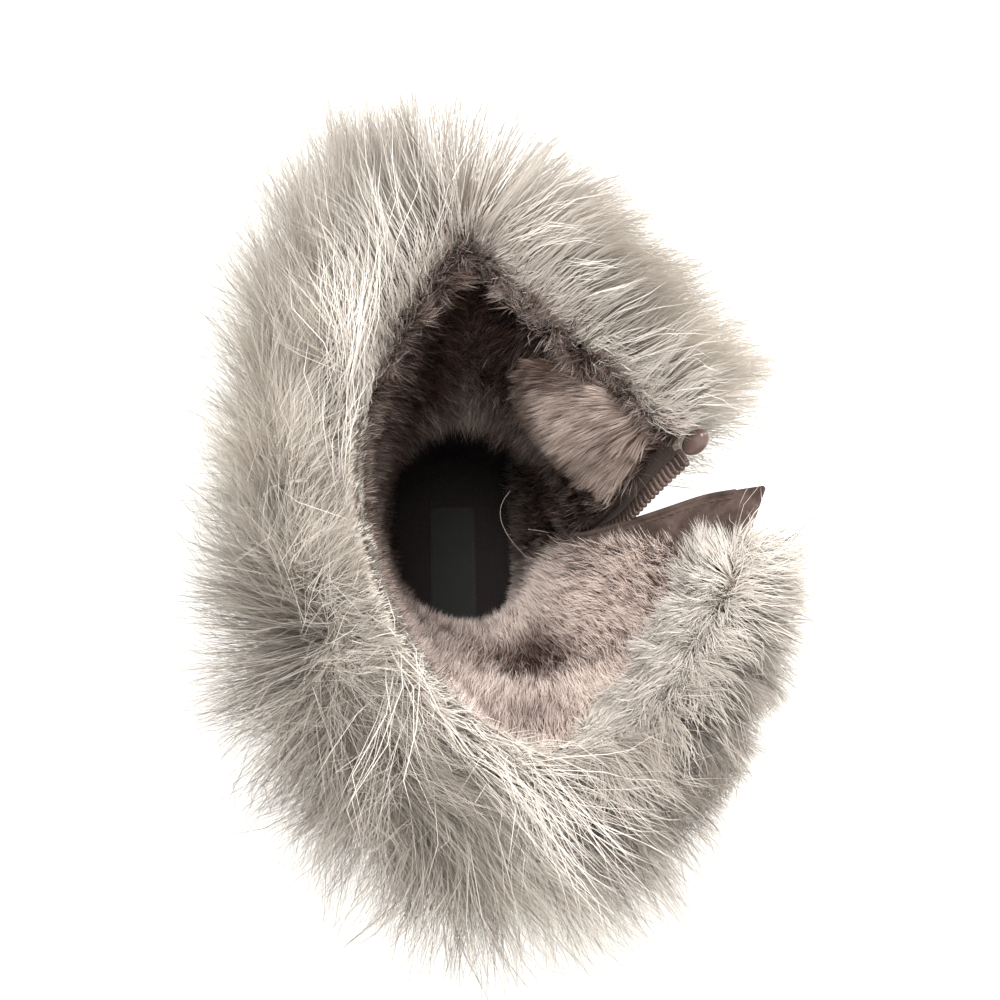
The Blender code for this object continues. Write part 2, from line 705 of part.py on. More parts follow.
def make_slider(collection, cutters, material):
    """Channel over both zip rows, with the bail that holds the pull."""
    half = ZIP_ROW_WIDTH + SLIDER_PLAY
    wide = half + SLIDER_WALL
    low = SLIDER_RIDE
    high = low + SLIDER_PLATE
    chamfer, chamfer_low = wide - SLIDER_CHAMFER[0], high - SLIDER_CHAMFER[1]
    bm = bmesh.new()
    extrude_outline(bm, [
        (-wide, SLIDER_FOOT), (-half, SLIDER_FOOT), (-half, low), (half, low),
        (half, SLIDER_FOOT), (wide, SLIDER_FOOT), (wide, chamfer_low), (chamfer, high),
        (-chamfer, high), (-wide, chamfer_low),
    ], "XZ", -SLIDER_LENGTH / 2.0, SLIDER_LENGTH / 2.0)
    slider = add_object("zip_slider", bm, collection, material)

    inside = BAIL_OPENING[0] / 2.0
    outside = inside + BAIL_BAR
    shoulder = outside - BAIL_CHAMFER
    root = high - BAIL_ROOT
    crown = high + BAIL_OPENING[1]
    bm = bmesh.new()
    extrude_outline(bm, [
        (-outside, root), (-inside, root), (-inside, crown), (inside, crown), (inside, root),
        (outside, root), (outside, crown), (shoulder, crown + BAIL_BAR),
        (-shoulder, crown + BAIL_BAR), (-outside, crown),
    ], "YZ", -BAIL_WIDTH / 2.0, BAIL_WIDTH / 2.0)
    bail = add_object("bail_stock", bm, cutters, material)
    bail.hide_render = True
    bail.display_type = "WIRE"
    join = slider.modifiers.new("bail", "BOOLEAN")
    join.operation = "UNION"
    join.solver = "EXACT"
    join.object = bail
    frame = slider_frame()
    place_by(slider, *frame)
    place_by(bail, *frame)
    return slider


def slider_frame():
    """Place on the upper's outer face, then across, along and off the zip."""
    here, normal, into, edge = slit_frame(SLIDER_LEVEL, 1)
    off = (normal - edge * normal.dot(edge)).normalized()
    return here, edge.cross(off), edge, off


def make_pull(collection, material):
    """Flat tab whose bar turns in the slider's bail, hanging plumb from that axis."""
    pull = bpy.data.curves.new("zip_pull", "CURVE")
    pull.dimensions = "2D"
    pull.fill_mode = "BOTH"
    pull.extrude = PULL_THICKNESS / 2.0 * MM
    half = PULL_WIDTH / 2.0
    top = PULL_BAR / 2.0
    top_cut, foot_cut = PULL_CORNERS
    waist, waist_down = PULL_WAIST
    side = [
        (half - top_cut, top), (half, top - top_cut),
        (half * waist, -PULL_LENGTH * waist_down), (half, foot_cut - PULL_LENGTH),
        (half - PULL_FOOT[0], PULL_FOOT[1] - PULL_LENGTH),
    ]
    outline = side + [(0.0, -PULL_LENGTH)] + [(-x, y) for x, y in reversed(side)]
    eye_half = PULL_EYE[0] / 2.0
    eye_foot = -top - PULL_EYE[1]
    eye = [(-eye_half, -top), (eye_half, -top), (eye_half, eye_foot), (-eye_half, eye_foot)]
    for points in (outline, eye):
        spline = pull.splines.new("POLY")
        spline.points.add(len(points) - 1)
        spline.use_cyclic_u = True
        for point, (x, y) in zip(spline.points, points):
            point.co = (x * MM, y * MM, 0.0, 1.0)
    pull.materials.append(material)
    thing = bpy.data.objects.new("zip_pull", pull)
    collection.objects.link(thing)
    here, across, along, off = slider_frame()
    axis_height = SLIDER_RIDE + SLIDER_PLATE + BAIL_OPENING[1] / 2.0
    hang = math.atan2(-off.z, along.z)
    hung_along = along * math.cos(hang) - off * math.sin(hang)
    hung_off = off * math.cos(hang) + along * math.sin(hang)
    place_by(thing, here + off * axis_height, across, hung_along, hung_off)
    return thing


def main():
    clear_scene()
    boot = new_collection("winter_boot_left")
    cutters = new_collection("stock")
    make_upper(boot, make_material("suede"))
    make_outsole(boot, make_material("rubber"))
    make_insole(boot, make_material("footbed felt"))
    make_cuff(boot, make_material("long pile"))
    plastic = make_material("zip plastic")
    make_zip_row("zip_row_front", 1, boot, plastic)
    make_zip_row("zip_row_rear", -1, boot, plastic)
    make_end_knob(boot, plastic)
    make_guard(boot, make_material("guard suede"))
    metal = make_material("slider metal")
    make_slider(boot, cutters, metal)
    make_pull(boot, metal)


main()
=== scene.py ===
# Winter boot, left foot: a suede ankle boot with a deep fur cuff, its inner zip half open.
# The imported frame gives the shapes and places. Lengths in the settings are in millimetres.

import json
import math

import bmesh
import bpy
import numpy as np
from mathutils import Matrix, Vector
from mathutils.bvhtree import BVHTree
from mathutils.kdtree import KDTree

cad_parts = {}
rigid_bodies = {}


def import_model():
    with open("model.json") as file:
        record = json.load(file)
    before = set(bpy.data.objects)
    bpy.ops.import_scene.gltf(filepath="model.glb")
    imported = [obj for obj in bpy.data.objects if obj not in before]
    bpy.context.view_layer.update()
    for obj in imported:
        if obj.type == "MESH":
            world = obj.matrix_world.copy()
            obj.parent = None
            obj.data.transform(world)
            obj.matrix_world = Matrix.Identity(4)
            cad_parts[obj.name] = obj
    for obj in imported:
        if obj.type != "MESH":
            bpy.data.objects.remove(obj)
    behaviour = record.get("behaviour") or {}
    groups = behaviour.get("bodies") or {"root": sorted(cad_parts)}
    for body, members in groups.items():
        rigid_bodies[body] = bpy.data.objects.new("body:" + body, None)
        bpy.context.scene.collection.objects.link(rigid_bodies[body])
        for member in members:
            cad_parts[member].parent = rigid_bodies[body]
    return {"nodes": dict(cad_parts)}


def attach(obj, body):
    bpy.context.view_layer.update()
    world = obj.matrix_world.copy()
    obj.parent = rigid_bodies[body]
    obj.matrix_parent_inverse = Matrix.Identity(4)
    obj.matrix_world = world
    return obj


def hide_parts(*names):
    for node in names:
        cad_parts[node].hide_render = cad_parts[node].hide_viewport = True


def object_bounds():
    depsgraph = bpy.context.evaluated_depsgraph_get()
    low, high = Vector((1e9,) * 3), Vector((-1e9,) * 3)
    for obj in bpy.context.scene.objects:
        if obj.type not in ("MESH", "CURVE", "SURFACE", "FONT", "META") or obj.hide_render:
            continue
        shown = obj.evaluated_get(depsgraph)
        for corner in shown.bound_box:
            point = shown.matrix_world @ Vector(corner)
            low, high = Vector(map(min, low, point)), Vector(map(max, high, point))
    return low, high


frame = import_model()
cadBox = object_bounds()
mm = 0.001
mergeDistance = 0.00001


def hexColour(text):
    parts = [int(text[k:k + 2], 16) / 255 for k in (1, 3, 5)]
    return tuple(p / 12.92 if p < 0.04045 else ((p + 0.055) / 1.055) ** 2.4 for p in parts) + (1,)


def unit(vectors):
    return vectors / np.maximum(np.linalg.norm(vectors, axis=-1, keepdims=True), 1e-9)


def sizeOf(vectors):
    return np.linalg.norm(vectors, axis=-1)


def squareTo(vectors, ways):
    return vectors - ways * (vectors * ways).sum(axis=-1, keepdims=True)


def mix(first, second, share):
    return first * (1 - share) + second * share


def bell(values, width):
    return np.exp(-(values / width) ** 2)


def ease(values, low, high):
    t = np.clip((np.asarray(values) - low) / (high - low), 0, 1)
    return t * t * (3 - 2 * t)


def drift(points, size, seed):
    # smooth vector noise, about -1 to 1; size is in metres
    rng = np.random.default_rng(seed)
    total = np.zeros((len(points), 3))
    for octave in range(4):
        waves = rng.normal(size=(3, 3)) * 1.7 ** octave / size
        total += np.sin(points @ waves.T * 2.2 + rng.uniform(0, 6.28, 3)) / 1.6 ** octave
    return total / 1.9


# Shader nodes

def connect(tree, node, sockets):
    for key, value in sockets.items():
        if isinstance(value, bpy.types.NodeSocket):
            tree.links.new(value, node.inputs[key])
        else:
            node.inputs[key].default_value = value
    return node.outputs


def addNode(tree, kind, sockets=None, **settings):
    node = tree.nodes.new("ShaderNode" + kind)
    for key, value in settings.items():
        setattr(node, key, value)
    return connect(tree, node, sockets or {})


def blendColours(tree, share, first, second, mode="MIX"):
    return addNode(tree, "Mix", {0: share, 6: first, 7: second}, data_type="RGBA", blend_type=mode)[2]


def math2(tree, operation, a, b):
    return addNode(tree, "Math", {0: a, 1: b}, operation=operation)[0]


def remap(tree, value, low, high, outLow=0.0, outHigh=1.0):
    return addNode(tree, "MapRange", {
        "Value": value, "From Min": low, "From Max": high, "To Min": outLow, "To Max": outHigh,
    }, interpolation_type="SMOOTHSTEP")[0]


def noise(tree, place, scale, detail, more=None):
    return addNode(tree, "TexNoise", {
        "Vector": place, "Scale": scale, "Detail": detail, **(more or {})})[0]


def newGroup(name, inputs, outputs):
    group = bpy.data.node_groups.new(name, "ShaderNodeTree")
    for way, sockets in (("INPUT", inputs), ("OUTPUT", outputs)):
        for title, kind in sockets.items():
            group.interface.new_socket(title, in_out=way, socket_type="NodeSocket" + kind)
    return group, group.nodes.new("NodeGroupInput").outputs, group.nodes.new("NodeGroupOutput")


def makePileTint():
    # u runs from a hair's root to its tip, v is the hair's paleness, which holds painted light and shade
    # as well as its own colour
    group, ins, out = newGroup("pileTint", {
        "Map": "Vector", "Root Dark": "Color", "Root Pale": "Color", "Tip Dark": "Color",
        "Tip Pale": "Color", "Turn": "Float", "Softness": "Float"}, {"Color": "Color"})
    split = addNode(group, "SeparateXYZ", {0: ins["Map"]})
    low, high = (math2(group, kind, ins["Turn"], ins["Softness"]) for kind in ("SUBTRACT", "ADD"))
    root, tip = (blendColours(group, split[1], ins[end + " Dark"], ins[end + " Pale"])
                 for end in ("Root", "Tip"))
    along = remap(group, split[0], low, high)
    connect(group, out, {"Color": blendColours(group, along, root, tip)})
    return group


def makeNap():
    # brushed suede: patches where the nap lies one way or the other, over a fine pile
    group, ins, out = newGroup("suedeNap", {
        "Position": "Vector", "Dark": "Color", "Pale": "Color", "Patch Size": "Float",
        "Contrast": "Float"}, {"Color": "Color", "Height": "Float", "Roughness": "Float"})
    patch = noise(group, ins["Position"], ins["Patch Size"], 5.0, {"Distortion": 1.2})
    fibres = noise(group, ins["Position"], 1700.0, 3.0)
    mottle = noise(group, ins["Position"], 420.0, 3.0)
    share = math2(group, "MULTIPLY", remap(group, patch, 0.36, 0.64), ins["Contrast"])
    base = blendColours(group, share, ins["Dark"], ins["Pale"])
    speck = remap(group, mottle, 0.3, 0.7, 1.0148, 1.3216)
    speck = addNode(group, "CombineColor", {0: speck, 1: speck, 2: speck})[0]
    connect(group, out, {
        "Color": blendColours(group, 1.0, base, speck, "MULTIPLY"),
        "Height": math2(group, "ADD", fibres, math2(group, "MULTIPLY", mottle, 0.8)),
        "Roughness": remap(group, patch, 0.3, 0.7, 0.95, 0.84)})
    return group


def makeGrime():
    # dust that settles low on the boot
    group, ins, out = newGroup("floorGrime", {
        "Position": "Vector", "Height Limit": "Float", "Amount": "Float"}, {"Mask": "Float"})
    height = addNode(group, "SeparateXYZ", {0: ins["Position"]})[2]
    low = remap(group, height, 0.0, ins["Height Limit"], 1.0, 0.0)
    cloud = noise(group, ins["Position"], 130.0, 8.0, {"Roughness": 0.7})
    spots = math2(group, "MULTIPLY", low, remap(group, cloud, 0.36, 0.80))
    connect(group, out, {"Mask": math2(group, "MULTIPLY", spots, ins["Amount"])})
    return group


def makeGrain():
    # fine moulded or woven grain, as a height and a slow change of roughness
    group, ins, out = newGroup("fineGrain", {
        "Position": "Vector", "Scale": "Float", "Gloss Low": "Float", "Gloss High": "Float",
    }, {"Height": "Float", "Roughness": "Float", "Tone": "Float"})
    slow = noise(group, ins["Position"], 70.0, 5.0)
    connect(group, out, {
        "Height": noise(group, ins["Position"], ins["Scale"], 4.0, {"Roughness": 0.6}),
        "Roughness": remap(group, slow, 0.3, 0.7, ins["Gloss Low"], ins["Gloss High"]),
        "Tone": slow})
    return group


pileTint = makePileTint()
suedeNap = makeNap()
floorGrime = makeGrime()
fineGrain = makeGrain()


def newMaterial(name, constants):
    material = bpy.data.materials.new(name)
    material.use_nodes = True
    shader = material.node_tree.nodes["Principled BSDF"]
    connect(material.node_tree, shader, constants)
    return material, material.node_tree, shader


def objectPosition(tree):
    return addNode(tree, "TexCoord")["Object"]


def bumpOf(tree, height, strength, distance):
    return addNode(tree, "Bump", {"Height": height, "Strength": strength, "Distance": distance})[0]


def dusted(tree, place, colour, limit, amount, dust):
    mask = addNode(tree, "Group", {"Position": place, "Height Limit": limit, "Amount": amount},
                   node_tree=floorGrime)[0]
    return blendColours(tree, mask, colour, hexColour(dust))


def makePileMaterial(name, look):
    material, tree, shader = newMaterial(name, {
        "Roughness": look["roughness"], "Specular IOR Level": look["specular"]})
    tint = addNode(tree, "Group", {
        "Map": addNode(tree, "UVMap", uv_map="OFBake")[0],
        "Root Dark": hexColour(look["rootDark"]), "Root Pale": hexColour(look["rootPale"]),
        "Tip Dark": hexColour(look["tipDark"]), "Tip Pale": hexColour(look["tipPale"]),
        "Turn": look["turn"], "Softness": look["softness"]}, node_tree=pileTint)
    connect(tree, shader, {"Base Color": tint["Color"]})
    return material


def makeSuedeMaterial(name, look):
    material, tree, shader = newMaterial(name, {
        "Specular IOR Level": 0.15, "Sheen Weight": look["sheen"], "Sheen Roughness": 0.45,
        "Sheen Tint": hexColour(look["pale"])})
    place = objectPosition(tree)
    nap = addNode(tree, "Group", {
        "Position": place, "Dark": hexColour(look["dark"]), "Pale": hexColour(look["pale"]),
        "Patch Size": look["patch"], "Contrast": look["contrast"]}, node_tree=suedeNap)
    connect(tree, shader, {
        "Base Color": dusted(tree, place, nap["Color"], 0.085, look["grime"], "#8d8178"),
        "Roughness": nap["Roughness"], "Normal": bumpOf(tree, nap["Height"], look["bump"], 0.0004)})
    return material


def makeMouldedMaterial(name, look):
    # rubber, plastic and metal: one colour with slow changes, a grain and dust
    material, tree, shader = newMaterial(name, {
        "Metallic": look.get("metallic", 0.0), "Coat Weight": look.get("coat", 0.0),
        "Coat Roughness": 0.18, "Specular IOR Level": look.get("specular", 0.5)})
    place = objectPosition(tree)
    grain = addNode(tree, "Group", {
        "Position": place, "Scale": look["grain"], "Gloss Low": look["gloss"][0],
        "Gloss High": look["gloss"][1]}, node_tree=fineGrain)
    share = remap(tree, grain["Tone"], 0.3, 0.7)
    colour = blendColours(tree, share, hexColour(look["dark"]), hexColour(look["pale"]))
    connect(tree, shader, {
        "Base Color": dusted(tree, place, colour, 0.05, look.get("grime", 0.0), "#8b8279"),
        "Roughness": grain["Roughness"],
        "Normal": bumpOf(tree, grain["Height"], look["bump"], 0.0002)})
    return material


def makeClothMaterial(name, look):
    # felt or woven tape: crossed threads over a slow change of tone
    material, tree, shader = newMaterial(name, {
        "Specular IOR Level": 0.2, "Sheen Weight": look["sheen"], "Sheen Roughness": 0.5})
    place = objectPosition(tree)
    grain = addNode(tree, "Group", {
        "Position": place, "Scale": look["grain"], "Gloss Low": 0.85, "Gloss High": 0.97,
    }, node_tree=fineGrain)
    turned = addNode(tree, "Mapping", {"Vector": place, "Rotation": look.get("turn", (0, 0, 0))})[0]
    threads = [addNode(tree, "TexWave", {
        "Vector": turned, "Scale": look["threads"], "Distortion": 0.6, "Detail": 1.0,
    }, bands_direction=way)[1] for way in look["ways"]]
    weave = math2(tree, "MULTIPLY", *threads)
    share = math2(tree, "MULTIPLY", math2(tree, "ADD", weave, grain["Height"]), 0.55)
    colour = blendColours(tree, share, hexColour(look["dark"]), hexColour(look["pale"]))
    height = math2(tree, "ADD", weave, grain["Height"])
    connect(tree, shader, {"Base Color": colour, "Roughness": grain["Roughness"],
                           "Normal": bumpOf(tree, height, look["bump"], 0.0003)})
    return material


# Pieces and meshes

def mergedCopy(node):
    bm = bmesh.new()
    bm.from_mesh(frame["nodes"][node].data)
    bmesh.ops.remove_doubles(bm, verts=bm.verts, dist=mergeDistance)
    bmesh.ops.join_triangles(
        bm, faces=bm.faces, angle_face_threshold=math.pi, angle_shape_threshold=math.pi)
    bm.normal_update()
    return bm


def toMesh(bm, name):
    mesh = bpy.data.meshes.new(name)
    bm.to_mesh(mesh)
    bm.free()
    return mesh


def newObject(name, data):
    thing = bpy.data.objects.new(name, data)
    bpy.context.scene.collection.objects.link(thing)
    return thing


def addPiece(name, mesh, materials, replaced=(), sharp=None, body="boot"):
    for material in materials:
        mesh.materials.append(material)
    if sharp is not None:
        mesh.shade_smooth()
        mesh.set_sharp_from_angle(angle=math.radians(sharp))
    piece = newObject(name, mesh)
    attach(piece, body)
    if replaced:
        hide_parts(*replaced)


def bakedMesh(bm, name, modifiers):
    # the mesh with modifiers applied: (kind, settings) each
    thing = newObject(name, toMesh(bm, name))
    for kind, settings in modifiers:
        modifier = thing.modifiers.new(kind.lower(), kind)
        for key, value in settings.items():
            setattr(modifier, key, value)
    graph = bpy.context.evaluated_depsgraph_get()
    mesh = bpy.data.meshes.new_from_object(thing.evaluated_get(graph))
    bpy.data.objects.remove(thing)
    return mesh


def subdivided(levels):
    return ("SUBSURF", {"levels": levels, "render_levels": levels})


def pointsOf(mesh):
    points = np.empty(len(mesh.vertices) * 3, np.float32)
    mesh.vertices.foreach_get("co", points)
    return points.reshape(-1, 3).astype(float)


def setPoints(mesh, points):
    mesh.vertices.foreach_set("co", points.astype(np.float32).ravel())
    mesh.update()


def trianglesOf(mesh):
    mesh.calc_loop_triangles()
    count = len(mesh.loop_triangles)
    corners = np.empty(count * 3, np.int32)
    polygons = np.empty(count, np.int32)
    sides = np.empty(len(mesh.polygons), np.int32)
    mesh.loop_triangles.foreach_get("vertices", corners)
    mesh.loop_triangles.foreach_get("polygon_index", polygons)
    mesh.polygons.foreach_get("material_index", sides)
    return corners.reshape(-1, 3), sides[polygons]


def smoothNormals(points, triangles):
    a, b, c = (points[triangles[:, k]] for k in range(3))
    faces = np.cross(b - a, c - a)
    total = np.zeros_like(points)
    for k in range(3):
        np.add.at(total, triangles[:, k], faces)
    return unit(total)


# The upper: suede outside, fleece inside, and the folded edge between them

outside, inside, foldedEdge = range(3)

upperLook = {
    "levels": 2,
    "wallTurn": 50,          # degrees between faces at the wall's edges
    "creaseTurn": 0.35,      # share of a trough's depth that its shoulders rise
    "counterRise": 0.9,
    "seamDepth": 0.55,
    "seamWidth": 0.9,
}

# Soft creases of the upper: three points, then depth and width.
upperCreases = {
    "front fold": ((-36, 72, 128), (0, 89, 121), (36, 78, 130), 2.8, 5.5),
    "low front fold": ((-38, 86, 108), (-4, 108, 107), (36, 92, 112), 2.3, 5.0),
    "high front fold": ((-34, 56, 146), (-2, 77, 141), (30, 60, 150), 1.9, 4.5),
    "lateral ankle": ((-45, 46, 112), (-45, 26, 120), (-44, 4, 116), 2.4, 6.0),
    "lateral ankle low": ((-47, 58, 88), (-47, 34, 99), (-46, 10, 100), 2.0, 6.0),
    "medial ankle": ((40, 10, 104), (36, -12, 114), (22, -23, 112), 2.0, 5.5),
    "heel tendon": ((-30, -16, 122), (0, -29, 126), (26, -18, 124), 2.2, 6.0),
    "heel tendon low": ((-34, -10, 98), (0, -27, 103), (32, -12, 100), 1.6, 6.0),
    "vamp flex": ((-46, 160, 66), (-6, 168, 88), (40, 152, 74), 1.8, 6.5),
    "toe slack": ((-40, 186, 60), (0, 196, 80), (42, 180, 62), 1.2, 6.5),
}

# Seams that cross the upper: a point, the way up and the way across, in which rays run.
upperSeams = {
    "counter": ((0, 40, 30), (0, -0.42, 0.9), (1, 0, 0)),
    "vamp": ((0, 88, 30), (0, 0.16, 0.99), (1, 0, 0)),
}


def markWall(bm, look):
    # islands of faces that no sharp edge crosses: the outside is the largest
    limit = math.radians(look["wallTurn"])
    islands = []
    seen = set()
    for seed in bm.faces:
        if seed in seen:
            continue
        island = [seed]
        seen.add(seed)
        for face in island:
            for edge in face.edges:
                if len(edge.link_faces) == 2 and edge.calc_face_angle() < limit:
                    for other in edge.link_faces:
                        if other not in seen:
                            seen.add(other)
                            island.append(other)
        islands.append(island)
    islands.sort(key=lambda faces: -sum(face.calc_area() for face in faces))
    for place, island in enumerate(islands):
        for face in island:
            face.material_index = min(place, foldedEdge)
            face.smooth = True


def lineDistance(points, line):
    best = np.full(len(points), 1e9)
    for a, b in zip(line, line[1:]):
        a, b = np.array(a), np.array(b)
        run = b - a
        t = np.clip((points - a) @ run / (run @ run), 0, 1)
        best = np.minimum(best, sizeOf(points - a - t[:, None] * run))
    return best


def curvedLine(three, count=12):
    # a smooth line through three points
    a, b, c = (np.array(p, float) for p in three)
    control = 2 * b - (a + c) / 2
    t = np.linspace(0, 1, count)[:, None]
    return (1 - t) ** 2 * a + 2 * t * (1 - t) * control + t * t * c


def seamPlane(seam):
    origin, up, across = (np.array(v, float) for v in upperSeams[seam])
    return origin, up / np.linalg.norm(up), across


def planeSide(points, seam):
    # signed distance in front of a seam's plane, in millimetres
    origin, up, across = seamPlane(seam)
    return (points - origin) @ np.cross(across, up)


def makeUpperMesh(look):
    bm = mergedCopy("upper")
    markWall(bm, look)
    mesh = bakedMesh(bm, "upperSuede", [subdivided(look["levels"])])
    points = pointsOf(mesh)
    triangles, sides = trianglesOf(mesh)
    outward = smoothNormals(points, triangles[sides == outside])
    inward = smoothNormals(points, triangles[sides == inside])
    isOuter = sizeOf(outward) > 0.5
    away = np.where(isOuter[:, None], outward, -inward)
    place = points / mm
    shift = np.zeros(len(points))
    for *three, depth, width in upperCreases.values():
        distance = lineDistance(place, curvedLine(three))
        wobble = 1 + 0.25 * drift(points, 0.03, 5)[:, 0]
        shift -= depth * wobble * bell(distance, width)
        shift += depth * look["creaseTurn"] * bell(distance - 1.9 * width, width)
    shift += 0.35 * drift(points, 0.035, 11)[:, 0] * ease(place[:, 2], 45, 70)
    below = 1 - ease(place[:, 2], 150, 165)
    outerOnly = isOuter * below
    counter = planeSide(place, "counter")
    shift += outerOnly * look["counterRise"] * ease(counter, 1.2, -0.2)
    vamp = np.abs(planeSide(place, "vamp"))
    shift -= outerOnly * look["seamDepth"] * bell(vamp, look["seamWidth"])
    setPoints(mesh, points + away * (shift * mm)[:, None])
    return mesh


suedeLook = {
    "dark": "#3d2f27", "pale": "#554338", "patch": 42.0, "contrast": 0.50,
    "sheen": 0.35, "bump": 0.5, "grime": 0.35,
}
fleeceLook = {"dark": "#2b201c", "pale": "#4a3a34", "grain": 900.0, "threads": 160.0,
              "ways": ("X", "Z"), "sheen": 0.3, "bump": 0.6}
suede = makeSuedeMaterial("brownSuede", suedeLook)
fleece = makeClothMaterial("fleeceBacking", fleeceLook)
upperMesh = makeUpperMesh(upperLook)
upperPoints = pointsOf(upperMesh)
upperTriangles, upperSides = trianglesOf(upperMesh)
addPiece("upper_suede", upperMesh, [suede, fleece, suede], ["upper"])
print("upper:", len(upperTriangles), "triangles")


def meshTree(mesh, side=None):
    triangles, sides = trianglesOf(mesh)
    if side is not None:
        triangles = triangles[sides == side]
    return BVHTree.FromPolygons([Vector(p) for p in pointsOf(mesh)], triangles.tolist())


outerTree, innerTree = (meshTree(upperMesh, side) for side in (outside, inside))


# The collar's edge, and where a point stands to it

collarCentre = (10, 18)
rimFoot = 210                # the collar's edge lies above it, and the slit's sides below


def angleOf(points):
    # degrees around the collar: 0 the toe, 90 the medial side, -90 the lateral side
    return np.degrees(np.arctan2(points[:, 0] - collarCentre[0] * mm, points[:, 1] - collarCentre[1] * mm))


def makeRim():
    # the middle of the folded edge, as points in order of their angle
    bm = mergedCopy("upper")
    markWall(bm, upperLook)
    rows = [np.array(face.calc_center_median()) for face in bm.faces
            if face.material_index == foldedEdge and face.normal.z > 0.8]
    bm.free()
    rows = np.array([row for row in rows if row[2] > rimFoot * mm])
    rows = rows[np.argsort(angleOf(rows))]
    nexts = np.roll(rows, -1, axis=0)
    near = sizeOf(nexts - rows) < 0.02
    points = [rows] + [rows[near] + (nexts - rows)[near] * share for share in (0.25, 0.5, 0.75)]
    points = np.concatenate(points)
    return points[np.argsort(angleOf(points))]


rimPoints = makeRim()
rimAngles = angleOf(rimPoints)
gap = np.argmax(np.diff(rimAngles))
print("rim:", len(rimPoints), "points, slit from", rimAngles[gap], "to", rimAngles[gap + 1])
ring = np.roll(rimPoints, -(gap + 1), axis=0)
rimWays = np.roll(unit(np.gradient(ring, axis=0)), gap + 1, axis=0)


def kdTree(points):
    tree = KDTree(len(points))
    for k, point in enumerate(points):
        tree.insert(point, k)
    tree.balance()
    return tree


rimTree = kdTree(rimPoints)


def toRim(points):
    # distance to the collar's edge, its angle and its direction around the collar
    found = [rimTree.find(point)[1:] for point in points]
    place = np.array([f[0] for f in found])
    return np.array([f[1] for f in found]), rimAngles[place], rimWays[place]


# Lines, and the two rows of the zip

def smoothLine(points, rounds=3):
    points = np.array(points, float)
    for _ in range(rounds):
        points[1:-1] = (points[:-2] + 2 * points[1:-1] + points[2:]) / 4
    return points


def runOf(points):
    return unit(np.gradient(points, axis=0))


def nearestOn(tree, points, part=0):
    # places on a surface nearest to the points, or with part 1 the normals there
    return np.array([tree.find_nearest(Vector(point))[part] for point in points])


def rowLine(node):
    # the middle of a row of teeth, from its foot to its top
    points = pointsOf(frame["nodes"][node].data)
    low, high = points[:, 2].min(), points[:, 2].max()
    count = 26
    place = np.clip(((points[:, 2] - low) / (high - low) * count).astype(int), 0, count - 1)
    line = smoothLine([points[place == k].mean(axis=0) for k in np.unique(place)], 2)
    first, last = line[0] - (line[1] - line[0]) * 0.4, line[-1] + (line[-1] - line[-2]) * 0.4
    return np.concatenate([[first], line, [last]])


zipLines = {side: rowLine("zip_row_" + side) for side in ("front", "rear")}


def toZip(points):
    # distance to the nearer row of teeth
    return np.minimum(*(lineDistance(points, line) for line in zipLines.values()))


# Growing hair

def scatter(points, triangles, wanted, weight, rng):
    # roots on a surface: their places, and the blended normals there
    corners = points[triangles]
    normals = smoothNormals(points, triangles)[triangles]
    area = sizeOf(np.cross(corners[:, 1] - corners[:, 0], corners[:, 2] - corners[:, 0]))
    share = area * weight(corners.mean(axis=1))
    picked = rng.choice(len(triangles), wanted, p=share / share.sum())
    a, b = rng.random((2, wanted, 1))
    flip = a + b > 1
    a, b = np.where(flip, 1 - a, a), np.where(flip, 1 - b, b)
    c = 1 - a - b
    mixed = [(field[picked, 0] * a + field[picked, 1] * b + field[picked, 2] * c)
             for field in (corners, normals)]
    return mixed[0], unit(mixed[1])


def growCurves(roots, start, comb, lengths, steps):
    # each hair leaves along start and turns towards comb
    curves = [roots]
    for k in range(steps):
        turned = ((k + 0.5) / steps) ** 0.8
        way = unit(mix(start, comb, turned))
        curves.append(curves[-1] + way * (lengths / steps)[:, None])
    return np.stack(curves, axis=1)


def gather(curves, keys, look, kind, rng, pull=1.0):
    # draw hairs together towards the nearest of some of them
    guides, spread = look[kind + "s"], look[kind + "Spread"]
    chosen = rng.choice(len(curves), guides, replace=False)
    tree = kdTree(keys[chosen])
    nearest = chosen[np.array([tree.find(key)[1] for key in keys])]
    steps = curves.shape[1] - 1
    t = (np.arange(steps + 1) / steps)[None, :, None]
    offset = (curves[:, :1] - curves[nearest][:, :1]) * (1 + (spread - 1) * t)
    goal = curves[nearest] + offset
    apart = sizeOf(goal[:, -1] - curves[:, -1])
    share = pull * t ** 0.8 * bell(apart, 0.022)[:, None, None]
    return mix(curves, goal, share), nearest


def shortened(curves, share):
    return curves[:, :1] + (curves - curves[:, :1]) * share[:, None, None]


upward = np.array([0, 0, 1.0])
boxMargin = 0.014            # how far hair may stand out of the solids' box, in metres


def keepInside(curves):
    # hairs that would leave the box are drawn back towards their roots
    low = np.array(cadBox[0]) - boxMargin
    high = np.array(cadBox[1]) + boxMargin
    run = curves - curves[:, :1]
    share = np.ones(len(curves))
    for bound, sign in ((low, -1), (high, 1)):
        room = np.maximum((bound - curves[:, 0]) * sign, 0.001)
        reach = (run * sign).max(axis=1)
        share = np.minimum(share, (room / np.maximum(reach, 1e-9)).min(axis=1))
    return shortened(curves, share)


